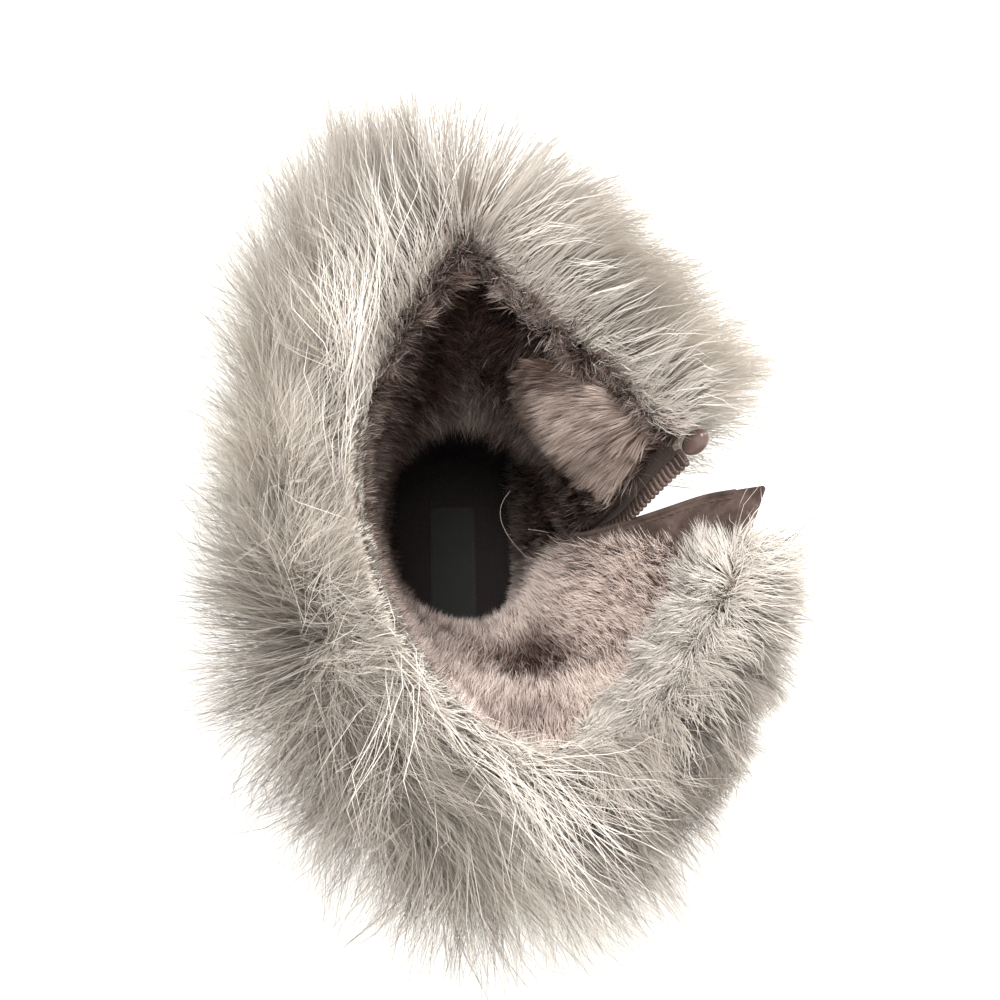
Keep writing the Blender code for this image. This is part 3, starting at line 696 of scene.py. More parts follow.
def ribbonMesh(name, curves, outward, paleness, look, rng):
    # flat tapered ribbons, one for each hair, ending in a point
    count, rows = curves.shape[:2]
    steps = rows - 1
    ways = unit(np.gradient(curves, axis=1))
    facing = outward + 0.5 * rng.normal(size=(count, 3))
    side = unit(np.cross(ways, facing[:, None, :]))
    taper = 1 - 0.6 * (np.arange(steps) / steps) ** 1.6
    widths = look["width"] * mm * rng.uniform(0.65, 1.3, count)
    half = side[:, :steps] * (widths[:, None] * taper[None, :] / 2)[:, :, None]
    body = np.stack([curves[:, :steps] - half, curves[:, :steps] + half], axis=2)
    points = np.concatenate([body.reshape(count, steps * 2, 3), curves[:, -1:]], axis=1)
    corners = [2 * k + corner for k in range(steps - 1) for corner in (0, 1, 3, 2)]
    corners = np.array(corners + [2 * steps - 2, 2 * steps - 1, 2 * steps])
    hairs = np.arange(count)[:, None]
    mesh = bpy.data.meshes.new(name)
    mesh.vertices.add(count * (steps * 2 + 1))
    mesh.loops.add(count * len(corners))
    loops = corners + hairs * (steps * 2 + 1)
    mesh.loops.foreach_set("vertex_index", loops.astype(np.int32).ravel())
    mesh.polygons.add(count * steps)
    firsts = np.arange(0, 4 * steps, 4) + hairs * len(corners)
    mesh.polygons.foreach_set("loop_start", firsts.astype(np.int32).ravel())
    u = np.append(np.repeat(np.arange(steps) / steps, 2), 0.995)[corners]
    v = np.append(np.tile([-0.004, 0.004], steps), 0.0)[corners] + paleness[:, None]
    uv = np.stack([np.broadcast_to(np.clip(u, 0.003, 0.997), v.shape), np.clip(v, 0.004, 0.996)], axis=2)
    mesh.uv_layers.new(name="OFBake").data.foreach_set("uv", uv.astype(np.float32).ravel())
    setPoints(mesh, points)
    mesh.update(calc_edges=True)
    mesh.validate()
    mesh.shade_smooth()
    skin = squareTo(outward[:, None, :], ways)
    jitter = look["shadeJitter"] * rng.normal(size=(count, 1, 3))
    shade = unit(look["skin"] * outward[:, None, :] + unit(skin) + jitter)
    normals = np.concatenate([np.repeat(shade[:, :steps], 2, axis=1), shade[:, -1:]], axis=1)
    mesh.normals_split_custom_set_from_vertices(normals.reshape(-1, 3).tolist())
    return mesh


def speckle(tuft, look, rng):
    # how much paler each tuft is, and each hair
    perTuft, perHair = look["toneSpread"]
    return rng.normal(size=len(tuft))[tuft] * perTuft + rng.normal(size=len(tuft)) * perHair


def growPiece(name, mine, curves, outward, tone, look, material, rng, replaced=()):
    paleness = np.clip(tone, 0.02, 0.98)[mine]
    mesh = ribbonMesh(name, curves[mine], outward[mine], paleness, look, rng)
    addPiece(name, mesh, [material], replaced)
    print(name, mine.sum() * (2 * look["steps"] - 1), "triangles")


# The long fur of the cuff

combColumns = ("angle", "crest", "mid", "flank", "foldWay", "length", "fold", "foldLength",
               "reach", "start", "rise")
# Around the collar, in degrees from straight outward, above 0 towards the medial side: the way
# the fur is swept at the collar's edge, lower down, near the hem, and on the edge itself. Then
# its length, how far down inside the short hair wraps, that hair's length, how far the tips
# reach in over the opening, how far outside the edge the long fur begins, and how steeply the
# crest stands up.
combByAngle = {
    "heel": (-180, -85, -42, 5, -95, 62, 6, 12, 5, 0, 0),
    "heel's corner": (-166, -90, -38, 0, -105, 72, 5, 10, 4, 0, 0),
    "rear corner": (-150, -105, -40, -4, -130, 70, 4, 9, 1.5, 0, 0),
    "lateral rear": (-115, 165, 70, 14, 160, 62, 4, 8, 0.5, 0, 0),
    "lateral side": (-90, 138, 82, 26, 150, 56, 4, 7, 0, 0, 0),
    "lateral flank": (-62, 98, 60, 20, 130, 60, 4, 7, 0, 0.5, 0),
    "lateral front": (-34, 60, 34, 8, 80, 60, 9, 8, 1, 4.5, 0.15),
    "toe": (-11, 30, 10, 5, 30, 60, 12, 8, 1, 3, 0.25),
    "front flank": (8, 84, 16, 0, 60, 56, 12, 8, 1, 4, 0.55),
    "front flap": (40, 86, 62, 8, 80, 48, 10, 8, 1.5, 4, 0.75),
    "front flap's edge": (67, 84, 68, 50, 100, 50, 5, 9, 3, 1.5, 0.35),
    "rear flap's edge": (99, -60, -25, 0, -160, 32, 18, 10, 8, 0, 0),
    "rear flap's side": (128, 30, 14, 10, 125, 32, 27, 12, 10, 0, 0.3),
    "rear flap": (154, 20, 20, 6, 95, 34, 24, 12, 8, 0, 0.4),
    "medial back": (174, -60, -40, -12, -90, 48, 10, 12, 7, 0, 0.1),
}
coatColumns = ("angle", "tone", "crestTone", "clump", "curl", "wild", "lining")
# The paleness of the long fur and of its crest, which is partly the fur's own colour and partly
# painted light and shade: painted shade darkens the heel, the rear corner and the rear flap, which
# face away from the light, and painted light brightens the front flanks and the crest at the back;
# how much it gathers into locks, how far they curl, how far their ways differ, and the paleness of
# the short pile inside, which is painted shade on the lateral and front walls and painted light on
# the heel's and the rear flap's inner faces.
coatByAngle = {
    "heel": (-180, 0.18, 0.64, 0.60, 7.0, 0.70, 0.90),
    "rear corner": (-150, 0.16, 0.60, 0.54, 8.0, 0.60, 0.55),
    "lateral rear": (-115, 0.50, 0.70, 0.42, 6.5, 0.45, 0.24),
    "lateral side": (-90, 0.95, 0.80, 0.30, 5.0, 0.32, 0.18),
    "lateral front": (-34, 0.96, 0.68, 0.26, 4.0, 0.26, 0.18),
    "toe": (-11, 0.93, 0.60, 0.22, 3.5, 0.24, 0.16),
    "front flank": (8, 1.05, 0.62, 0.26, 6.0, 0.44, 0.20),
    "front flap": (40, 1.10, 0.70, 0.36, 8.5, 0.66, 0.50),
    "front flap's edge": (67, 1.12, 0.92, 0.34, 8.0, 0.56, 0.50),
    "rear flap's edge": (99, 0.80, 0.80, 0.40, 7.0, 0.90, 0.92),
    "rear flap's side": (128, 0.10, 0.36, 0.54, 9.0, 1.00, 0.95),
    "rear flap": (154, 0.00, 0.14, 0.60, 9.5, 1.00, 0.92),
    "medial back": (171, 0.04, 0.22, 0.60, 8.0, 0.80, 0.90),
}
furLook = {
    "hairs": 72500, "steps": 4, "width": 0.24,
    "hem": 72,               # how far below the edge the cuff reaches
    "outerFoot": 130, "innerFoot": 160,
    "stand": 7.0,            # the cuff's hide and its folded edge, off the suede
    "clear": 6.0,            # bare suede beside each row of teeth
    "knobClear": (10, 19),
    "midDepth": 20, "flankDepth": 48, "blend": 4.0,
    "locks": 1300, "lockSpread": 0.5,
    "tufts": 14000, "tuftSpread": 0.4, "tuftPull": 0.26, "toneSpread": (0.05, 0.08),
    "loose": 0.30, "crimp": 0.9, "shortest": 0.26, "reachMore": 1.5, "reachSlack": 1.3,
    "pieces": {"fur_lateral": (-135, -30), "fur_front": (-30, 80),
               "fur_medial": (80, 165), "fur_heel": (165, 225)},
    "roughness": 0.65, "specular": 0.2, "shadeJitter": 0.08, "skin": 1.6,
    "rootDark": "#897a6e", "rootPale": "#dacfc4", "tipDark": "#9c9187", "tipPale": "#f3ece3",
    "turn": 0.28, "softness": 0.34,
}


def columnOf(name):
    # a column of either table and the angles it is given at, closed at the heel
    pair = (coatByAngle, coatColumns) if name in coatColumns else (combByAngle, combColumns)
    rows = np.array(list(pair[0].values()))
    place = pair[1].index(name)
    return np.append(rows[:, 0], 180), np.append(rows[:, place], rows[0, place])


def byAngle(name, angle):
    return np.interp(angle, *columnOf(name))


def swept(name, angle, away, way):
    # a level direction from a column of angles
    stops, turns = columnOf(name)
    turns = np.radians(turns)
    shares = [np.interp(angle, stops, part)[:, None] for part in (np.cos(turns), np.sin(turns))]
    return unit(away * shares[0] + way * shares[1])


def furStand(distance):
    # how far the cuff's hide stands off the suede, from its edge to its hem
    full = ease(distance, 0.000, 0.016) * (1 - ease(distance, 0.045, furLook["hem"] * mm))
    return (0.35 + 0.65 * full) * furLook["stand"] * mm


def levelAway(points, way):
    # the level direction out of the collar, square to its edge
    away = unit(np.stack([-way[:, 1], way[:, 0], np.zeros(len(way))], axis=1))
    middle = np.array([*collarCentre, 0]) * mm
    return away * np.sign((away * (points - middle)).sum(axis=1))[:, None]


def wallParts():
    # the outer triangles near the collar's edge, then the inner ones
    high = upperPoints[upperTriangles][:, :, 2].mean(axis=1)
    within = upperSides == inside
    foot = np.where(within, furLook["innerFoot"], furLook["outerFoot"]) * mm
    return [upperTriangles[part & (high > foot)] for part in (~within, within)]


def furRoots(look, rng):
    # places on the cuff's outside
    def weight(middle):
        distance, angle = toRim(middle)[:2]
        beside = ease(toZip(middle), look["clear"] * mm, look["clear"] * mm + 0.003)
        start = byAngle("start", angle) * mm
        begun = ease(distance, start - 0.006, start + 0.003)
        beside *= ease(sizeOf(middle - zipLines["front"][-1]) / mm, *look["knobClear"])
        return (distance < look["hem"] * mm) * beside * begun * (1 + 1.6 * np.exp(-distance / 0.012))

    return scatter(upperPoints, wallParts()[0], look["hairs"], weight, rng)


def overEdge(curves):
    # how far in past the collar's edge each point of a hair is, and the way back out
    points = curves.reshape(-1, 3)
    found = np.array([rimTree.find(point)[1] for point in points])
    away = levelAway(points, rimWays[found])
    past = -((points - rimPoints[found]) * away).sum(axis=1)
    return past.reshape(curves.shape[:2]), away.reshape(curves.shape)


def worstOver(curves):
    # how far in a hair starts, then the farthest it reaches and the way back out from there
    past, away = overEdge(curves)
    place = past[:, 1:].argmax(axis=1) + 1
    row = np.arange(len(curves))
    return past[:, 0], past[row, place], away[row, place]


def frontal(angle):
    return ease(angle, -78, -52) * ease(angle, 92, 76)


def growAside(roots, start, comb, lengths, reach, angle, look, rng):
    # at the front, hairs that lean in too far over the opening are turned and grown again
    for _ in range(4):
        curves = growCurves(roots, unit(start), unit(comb), lengths, look["steps"])
        most, away = worstOver(curves)[1:]
        turned = (np.where(most > reach, rng.uniform(0.2, 0.9, len(roots)), 0) * frontal(angle))[:, None]
        comb = unit(comb) + away * turned
        comb[:, 2] += 0.4 * turned[:, 0]
        start = unit(start) + away * turned * 0.4
    return curves


def holdBack(curves, reach, angle, look):
    # hairs that still lean in over the opening are drawn back, and all stay in the box
    reach = reach * look["reachSlack"]
    first, most = worstOver(curves)[:2]
    share = (reach - first) / np.maximum(most - first, 0.0001)
    shortest = look["shortest"] * (0.25 + 0.75 * frontal(angle))
    return keepInside(shortened(curves, np.where(most > reach, np.clip(share, shortest, 1), 1)))


def growFur(look):
    rng = np.random.default_rng(41)
    roots, outward = furRoots(look, rng)
    count = len(roots)
    distance, angle, way = toRim(roots)
    away = levelAway(roots, way)
    jitter = angle + 5 * drift(roots, 0.03, 25)[:, 0]
    depth = distance / mm
    blend = np.clip(rng.normal(size=count), -1.5, 1.5) * look["blend"]
    low = ease(depth + blend, 4, look["midDepth"])[:, None]
    lower = ease(depth, look["midDepth"], look["flankDepth"])[:, None]
    sweep = mix(swept("crest", jitter, away, way), swept("mid", jitter, away, way), low)
    sweep = mix(sweep, swept("flank", jitter, away, way), lower)
    over = np.minimum((sweep * away).sum(axis=1), 0) * ease(depth, 5, 16)
    sweep = unit(sweep - away * over[:, None])
    roots = roots + outward * furStand(distance)[:, None]
    flow = drift(roots, 0.04, 21)
    fine = drift(roots, 0.012, 22)
    down = ease(depth, 6, 62)[:, None]
    start = outward + upward * (0.75 - 0.9 * down) + 0.35 * fine
    rise = (byAngle("rise", angle) * (1 - ease(depth, 6, 26)))[:, None]
    comb = sweep + upward * (0.28 - 0.85 * down + rise)
    wild = byAngle("wild", angle)[:, None]
    comb = comb + 0.35 * flow + (0.2 + 0.6 * wild) * fine
    comb += (0.12 + 0.45 * wild) * rng.normal(size=(count, 3))
    lengths = byAngle("length", angle) * rng.uniform(0.62, 1.08, count)
    lengths *= (1 - 0.22 * ease(depth, 40, 72)) * (1 - 0.18 * (1 - ease(depth, 0, 12)))
    lengths *= mm * (1 + 0.2 * drift(roots, 0.02, 23)[:, 0])
    reach = byAngle("reach", angle) * rng.uniform(0.2, 1.25, count)
    reach = (reach + np.abs(rng.normal(size=count)) * look["reachMore"]) * mm
    curves = growAside(roots, start, comb, lengths, reach, angle, look, rng)
    t = np.linspace(0, 1, look["steps"] + 1)[None, :, None]
    bend = drift(curves.reshape(-1, 3), 0.022, 24).reshape(curves.shape)
    crimp = drift(curves.reshape(-1, 3), 0.007, 26).reshape(curves.shape)
    scale = (lengths / 0.05)[:, None, None]
    curl = byAngle("curl", angle)[:, None, None]
    curves = curves + (bend * curl + crimp * look["crimp"]) * scale * mm * t ** 1.3
    keys = roots + outward * 0.012
    free = rng.random(count) < look["loose"]
    strength = np.where(free, 0.25, 1.0)[:, None, None]
    locks, lock = gather(curves, keys, look, "lock", rng)
    clump = byAngle("clump", angle)[:, None, None]
    curves = curves + (locks - curves) * strength * clump
    tufts, tuft = gather(curves, keys, look, "tuft", rng, look["tuftPull"])
    curves = curves + (tufts - curves) * strength
    frizz = rng.normal(size=(count, 1, 3)) * np.sin(t * rng.uniform(2, 7, (count, 1, 1)))
    curves = curves + frizz * t * scale * 0.0013
    curves = holdBack(curves, reach, angle, look)
    crest = 1 - ease(depth, 4, 22)
    # paleness from the table, which carries painted light and shade around the cuff
    tone = mix(byAngle("tone", angle), byAngle("crestTone", angle), crest)
    # random paleness of locks, tufts and hairs, then painted shade that darkens the fur towards the hem
    tone += rng.normal(size=count)[lock] * 0.05 + speckle(tuft, look, rng) - 0.06 * ease(depth, 20, 70)
    material = makePileMaterial("creamFur", look)
    turned = np.where(angle < look["pieces"]["fur_lateral"][0], angle + 360, angle)
    for name, (first, last) in look["pieces"].items():
        mine = (turned >= first) & (turned < last)
        replaced = ["fur_cuff"] if name == "fur_lateral" else []
        growPiece(name, mine, curves, outward, tone, look, material, rng, replaced)


growFur(furLook)


# The short curly hair on the collar's edge, brown where the lining's pile comes over it

edgeLook = {
    "hairs": 22000, "folded": 19000, "steps": 2, "width": 0.30,
    "over": 6.0,             # how far down the outside it grows, and how much farther in front
    "frontOver": 8.0, "more": 5.0, "brownLength": 14.5, "brownFrom": 4.0, "brownReach": 7.0,
    "tufts": 2600, "tuftSpread": 0.35, "tuftPull": 0.55, "toneSpread": (0.10, 0.10), "shortest": 0.5,
    "reachSlack": 1.3, "shadeJitter": 0.2, "skin": 0.9,
}


def edgeRoots(look, rng):
    def weight(middle, inner):
        distance, angle = toRim(middle)[:2]
        clear = toZip(middle) > (furLook["clear"] + 4) * mm
        if inner:
            return clear * (distance < byAngle("fold", angle) * mm)
        over = look["over"] + look["frontOver"] * frontal(angle)
        return clear * (distance < over * mm) * (1 - 0.5 * ease(distance / mm, 5, 14))

    counts = look["hairs"], look["folded"]
    parts = [scatter(upperPoints, part, count, lambda middle: weight(middle, inner), rng)
             for inner, (part, count) in enumerate(zip(wallParts(), counts))]
    isFolded = np.arange(sum(counts)) >= look["hairs"]
    return [np.concatenate(part) for part in zip(*parts)] + [isFolded]


def growEdge(look):
    rng = np.random.default_rng(47)
    roots, outward, isFolded = edgeRoots(look, rng)
    count = len(roots)
    distance, angle, way = toRim(roots)
    away = levelAway(roots, way)
    start = byAngle("start", angle)
    share = np.clip(start / look["brownFrom"], 0, 1)
    mottled = 0.85 * ease(drift(roots, 0.009, 51)[:, 0], -0.9, 0.6)
    share *= np.where(isFolded, 0.92, (1 - ease(distance / mm, start, start + 12)) * mottled)
    brown = rng.random(count) < share
    roots = roots + outward * (furStand(distance) * np.where(isFolded, 0.35, 1))[:, None]
    fine = drift(roots, 0.010, 48)
    finer = drift(roots, 0.005, 49)
    folding = np.where(isFolded, 0.75, 0.35) + 0.5 * fine[:, 0]
    folding = np.clip(folding, 0, 1)[:, None]
    comb = mix(swept("crest", angle, away, way), swept("foldWay", angle, away, way), folding)
    leaning = (0.1 + 0.5 * fine[:, 1:2]) * away
    comb = np.where(brown[:, None], leaning + 0.35 * outward, comb) + 0.5 * upward
    comb += 0.4 * fine + 0.3 * finer + 0.25 * rng.normal(size=(count, 3))
    start = outward + 0.5 * upward + 0.3 * fine
    lengths = np.where(brown, look["brownLength"], byAngle("foldLength", angle) + look["more"])
    lengths = lengths * mm * rng.uniform(0.65, 1.15, count)
    wide = 1.2 + 1.8 * frontal(angle)
    reach = byAngle("reach", angle) + np.abs(rng.normal(size=count)) * wide
    reach += np.where(isFolded, np.maximum(byAngle("fold", angle) - 4, 0) * 0.6, 0)
    reach += brown * look["brownReach"]
    reach *= mm
    curves = growAside(roots, start, comb, lengths, reach, angle, look, rng)
    curves, tuft = gather(curves, roots, look, "tuft", rng, look["tuftPull"])
    frizz = rng.normal(size=(count, 1, 3)) * np.linspace(0, 1, look["steps"] + 1)[None, :, None]
    curves = holdBack(curves + frizz * 0.0012, reach, angle, look)
    # the cream hair takes the crest's paleness, with its painted light and shade
    creamTone = 0.32 + 0.64 * byAngle("crestTone", angle)
    tone = np.where(brown, 0.29 + 0.22 * drift(roots, 0.014, 50)[:, 0], creamTone)
    tone += speckle(tuft, look, rng)
    lit = unit(outward + upward * np.where(isFolded, 0.9, 0.3)[:, None])
    for name, mine, colours in (("edge_fur", ~brown, furLook), ("edge_pile", brown, liningLook)):
        growPiece(name, mine, curves, lit, tone, look, makePileMaterial(name, colours), rng)


# The cuff's hide under the fur

hideLook = {"dark": "#85786c", "pale": "#b3a799", "grain": 600.0, "threads": 120.0,
            "ways": ("X", "Z"), "sheen": 0.3, "bump": 0.8}


def makeHide():
    keep = upperTriangles[upperSides != inside]
    middle = upperPoints[keep].mean(axis=1)
    beside = toZip(middle) > (furLook["clear"] + 3) * mm
    keep = keep[(toRim(middle)[0] < furLook["hem"] * mm) & (middle[:, 2] > 0.14) & beside]
    used, faces = np.unique(keep, return_inverse=True)
    faces = faces.reshape(-1, 3)
    points = upperPoints[used]
    normals = smoothNormals(points, faces)
    points = points + normals * (furStand(toRim(points)[0]) - 0.0008)[:, None]
    mesh = bpy.data.meshes.new("cuff_hide")
    mesh.from_pydata(points.tolist(), [], faces.tolist())
    mesh.update()
    mesh.shade_smooth()
    addPiece("cuff_hide", mesh, [makeClothMaterial("cuffHide", hideLook)])


makeHide()
print("cuff hide")


# The short pile of the lining

liningLook = {
    "hairs": 156000, "steps": 1, "width": 0.37,
    "length": 8.5, "throatLength": 12.0, "clear": 4.0,
    "tufts": 24000, "tuftSpread": 0.5, "tuftPull": 0.40, "toneSpread": (0.10, 0.15),
    "lowest": 0.040, "farthest": 0.128, "lit": (-0.1, 0.1, 0.7),
    "roughness": 0.6, "specular": 0.3, "shadeJitter": 0.2, "skin": 0.8,
    "rootDark": "#26120c", "rootPale": "#8f6a5a", "tipDark": "#4e3228", "tipPale": "#fdebe0",
    "turn": 0.42, "softness": 0.40,
}
# Where the pile stands longer or paler: its place, how wide, then the extra length and paleness.
# The paleness is painted light and shade over the pile's own paler and darker patches: painted shade
# in the throat, low at the heel, in the hollow and above, under and beside the puff, where its shadow
# falls, and painted light on the rear flap, beside the guard, on the parted tuft and on the tips at
# the throat's fringe and the lateral lip.
pilePuffs = {
    "front flap": ((43, 50, 190), 18, 2.0, 0.0),
    "under the puff": ((48, 34, 168), 15, -1.0, -0.34),
    "medial wall": ((40, 34, 118), 32, 0.0, -0.62),
    "above the puff": ((36, 64, 205), 13, 0.0, -0.30),
    "parted tuft": ((-5, -45, 183), 9, 3.0, 0.20),
    "rear flap": ((38, -8, 143), 20, 6.0, 0.24),
    "rear flap's top": ((55, 5, 176), 16, 3.5, 0.06),
    "beside the guard": ((46, 4, 160), 10, 6.0, 0.30),
    "hollow": ((24, -34, 158), 17, -1.5, -1.1),
    "hollow's side": ((34, -30, 175), 10, 0.0, -0.30),
    "low heel": ((10, -56, 200), 22, 0.0, -0.36),
    "throat": ((-4, 93, 195), 32, 0.0, -0.40),
    "throat's fringe": ((-6, 78, 150), 20, 0.0, 0.44),
    "lateral lip": ((-30, 72, 200), 14, 0.0, 0.26),
}


def keptIn(curves):
    # pile that would pierce the wall across from it is cut short
    through = []
    for tip in curves[:, -1]:
        place, normal = innerTree.find_nearest(Vector(tip))[:2]
        through.append((Vector(tip) - place).dot(normal) < -0.0005)
    return shortened(curves, np.where(through, 0.3, 1))


def growLining(look):
    rng = np.random.default_rng(57)
    part = upperTriangles[upperSides == inside]

    def weight(middle):
        distance, angle = toRim(middle)[:2]
        shown = (middle[:, 2] > look["lowest"]) & (middle[:, 1] < look["farthest"])
        high = 0.4 + 0.6 * ease(middle[:, 2], 0.07, 0.14)
        clear = ease(toZip(middle), look["clear"] * mm, (look["clear"] + 3) * mm)
        return (distance > byAngle("fold", angle) * mm - 0.004) * shown * high * clear

    roots, inward = scatter(upperPoints, part, look["hairs"], weight, rng)
    count = len(roots)
    angle = toRim(roots)[1]
    throat = np.exp(-((roots[:, 1] - 0.075) / 0.02) ** 2 - ((roots[:, 2] - 0.15) / 0.035) ** 2)
    puffs = [(bell(sizeOf(roots / mm - place), wide), extra, tone)
             for place, wide, extra, tone in pilePuffs.values()]
    extra = sum(share * more for share, more, tone in puffs)
    lengths = (look["length"] + look["throatLength"] * throat + extra) * mm
    lengths *= rng.uniform(0.7, 1.1, count) * (1 + 0.2 * drift(roots, 0.012, 31)[:, 0])
    flow = drift(roots, 0.026, 32)
    fine = drift(roots, 0.006, 33)
    comb = inward + 0.45 * flow + 0.35 * fine + 0.42 * rng.normal(size=(count, 3))
    comb += 0.25 * upward
    curves = growCurves(roots, unit(comb), unit(comb), lengths, look["steps"])
    curves, tuft = gather(curves, roots, look, "tuft", rng, look["tuftPull"])
    curves = keptIn(curves)
    # paleness by angle around the collar: painted shade on the walls that face away from the light,
    # painted light on those that face it
    tone = byAngle("lining", angle) + 0.16 * drift(roots, 0.022, 34)[:, 1]
    tone += 0.14 * drift(roots, 0.010, 35)[:, 0]
    # painted light and shade of the pile puffs
    tone += sum(share * paler for share, more, paler in puffs)
    tone += speckle(tuft, look, rng)
    material = makePileMaterial("taupePile", look)
    front = np.abs(angle) < 95
    rearShare = ease(roots[:, 1], 0.025, -0.02)[:, None]
    lit = unit(inward + np.array(look["lit"]) * (0.15 + 0.85 * rearShare))
    for name, mine in (("lining_front", front), ("lining_rear", ~front)):
        growPiece(name, mine, curves, lit, tone, look, material, rng)


# The thick roll of pile inside the front flap

puffLook = {
    "hairs": 14000, "steps": 2, "width": 0.38,
    "place": (42, 56, 197), "wide": 26, "from": (57, 50, 222), "length": 24.0, "edgeLength": 15.0,
    "lit": (-0.15, 0.05, 0.45), "round": 1.0,
    "tufts": 1100, "tuftSpread": 0.4, "tuftPull": 0.55, "toneSpread": (0.13, 0.12), "tone": 0.62,
    # paler or darker places that round the puff, painted shade towards its edges and a painted highlight
    # near its middle, partly its own reddish brown: where, how wide, how much
    "marks": (((28, 72, 212), 16, -0.60), ((24, 66, 180), 14, -0.36), ((39, 60, 204), 9, 0.30),
              ((46, 42, 176), 10, -0.24), ((55, 42, 212), 10, -0.30)),
    "roughness": 0.6, "specular": 0.3, "shadeJitter": 0.15, "skin": 0.8,
    "rootDark": "#3b261e", "rootPale": "#8e7061", "tipDark": "#563d31", "tipPale": "#efdbcf",
    "turn": 0.40, "softness": 0.42,
}


def growPuff(look):
    rng = np.random.default_rng(73)
    part = upperTriangles[upperSides == inside]
    place = np.array(look["place"]) * mm

    def weight(middle):
        near = sizeOf(middle - place) < look["wide"] * mm
        return near * (toRim(middle)[0] > 0.002) * (toZip(middle) > 0.007)

    roots, inward = scatter(upperPoints, part, look["hairs"], weight, rng)
    count = len(roots)
    share = sizeOf(roots - place)[:, None] / (look["wide"] * mm)
    out = roots - np.array(look["from"]) * mm
    out = unit(squareTo(out, inward))
    fine = drift(roots, 0.009, 74)
    start = inward + 0.3 * fine
    comb = inward * (0.75 - 0.3 * share) + out * 1.05 + 0.36 * fine
    comb += 0.24 * rng.normal(size=(count, 3))
    lengths = mix(look["length"], look["edgeLength"], share[:, 0])
    lengths = lengths * mm * rng.uniform(0.75, 1.1, count)
    curves = growCurves(roots, unit(start), unit(comb), lengths, look["steps"])
    curves, tuft = gather(curves, roots, look, "tuft", rng, look["tuftPull"])
    tone = look["tone"] + 0.14 * drift(roots, 0.014, 75)[:, 1]
    # painted shade and a painted highlight from the marks, partly the puff's own colour
    for spot, wide, more in look["marks"]:
        tone += more * bell(sizeOf(roots / mm - spot), wide)
    tone += speckle(tuft, look, rng)
    lit = unit(inward + np.array(look["lit"]) + look["round"] * (roots - place) / (look["wide"] * mm))
    material = makePileMaterial("puffPile", look)
    growPiece("lining_puff", np.full(count, True), curves, lit, tone, look, material, rng)


growEdge(edgeLook)
growLining(liningLook)
growPuff(puffLook)


# Building along a line

def evenly(points, pitch):
    # the same line, sampled at an even pitch
    steps = sizeOf(np.diff(points, axis=0))
    walked = np.concatenate([[0], np.cumsum(steps)])
    count = max(int(round(walked[-1] / pitch)), 2)
    marks = (np.arange(count) + 0.5) * walked[-1] / count
    return np.stack([np.interp(marks, walked, points[:, k]) for k in range(3)], axis=1)


def framesOn(points, tree):
    # along the line, off the surface under it, and across
    ways = runOf(points)
    off = nearestOn(tree, points, 1)
    off = unit(smoothLine(squareTo(off, ways), 4))
    return ways, off, np.cross(ways, off)


def sweepPiece(name, points, frames, section, material, sharp=60):
    # a closed section of (across, off) carried along a line, with ends
    off, across = frames[-2:]
    bm = bmesh.new()
    rings = [[bm.verts.new(point + (a * x + b * y) * mm) for x, y in section]
             for point, a, b in zip(points, across, off)]
    for first, second in zip(rings, rings[1:]):
        for k in range(len(section)):
            following = (k + 1) % len(section)
            bm.faces.new((first[k], first[following], second[following], second[k]))
    bm.faces.new(rings[0][::-1])
    bm.faces.new(rings[-1])
    bmesh.ops.recalc_face_normals(bm, faces=bm.faces)
    addPiece(name, toMesh(bm, name), [material], sharp=sharp)


def roundSection(width, height, rise, corners=10):
    # an oval section whose middle stands at rise
    turns = [2 * math.pi * k / corners for k in range(corners)]
    return [(width / 2 * math.cos(turn), rise + height / 2 * math.sin(turn)) for turn in turns]


def flatSection(near, far, low, high, edge):
    # a strip from near to far across, with its edges eased
    return [(near, low), (far, low), (far, high - edge), (far - edge, high),
            (near + edge, high), (near, high - edge)]


def stamp(name, shape, places, ways, off):
    # copies of one small mesh set along a line and joined: x across, y along, z off
    points = pointsOf(shape)
    frames = np.stack([np.cross(ways, off), ways, off], axis=1)
    spots = np.einsum("pk,ckd->cpd", points, frames) + places[:, None, :]
    faces = [tuple(polygon.vertices) for polygon in shape.polygons]
    joined = [tuple(v + k * len(points) for v in face) for k in range(len(places)) for face in faces]
    mesh = bpy.data.meshes.new(name)
    mesh.from_pydata(spots.reshape(-1, 3).tolist(), [], joined)
    mesh.update()
    return mesh


def stitchShape(length, width):
    bm = bmesh.new()
    bmesh.ops.create_uvsphere(bm, u_segments=6, v_segments=5, radius=1)
    bmesh.ops.rotate(bm, verts=bm.verts, matrix=Matrix.Rotation(math.pi / 2, 3, "X"))
    bmesh.ops.scale(bm, verts=bm.verts, vec=Vector((width, length, width * 0.8)) * mm / 2)
    return toMesh(bm, "stitch")


threadLook = {"length": 2.3, "gap": 0.9, "width": 0.62, "sunk": 0.05}


def stitchRow(name, points, lift=0.0, tree=outerTree, look=threadLook):
    places = evenly(smoothLine(points, 2), (look["length"] + look["gap"]) * mm)
    ways, off = framesOn(places, tree)[:2]
    hits = nearestOn(tree, places)
    raised = hits + off * (lift + look["width"] * 0.3 - look["sunk"]) * mm
    mesh = stamp(name, stitchShape(look["length"], look["width"]), raised, ways, off)
    addPiece(name, mesh, [threadMaterial], sharp=180)


threadMaterial = makeClothMaterial("brownThread", {
    "dark": "#3a2c24", "pale": "#7e695a", "grain": 2500.0, "threads": 900.0, "ways": ("X", "Y"),
    "turn": (0, 0, 0.6), "sheen": 0.2, "bump": 0.4})


# Seams, the back strip and the facings of the zip

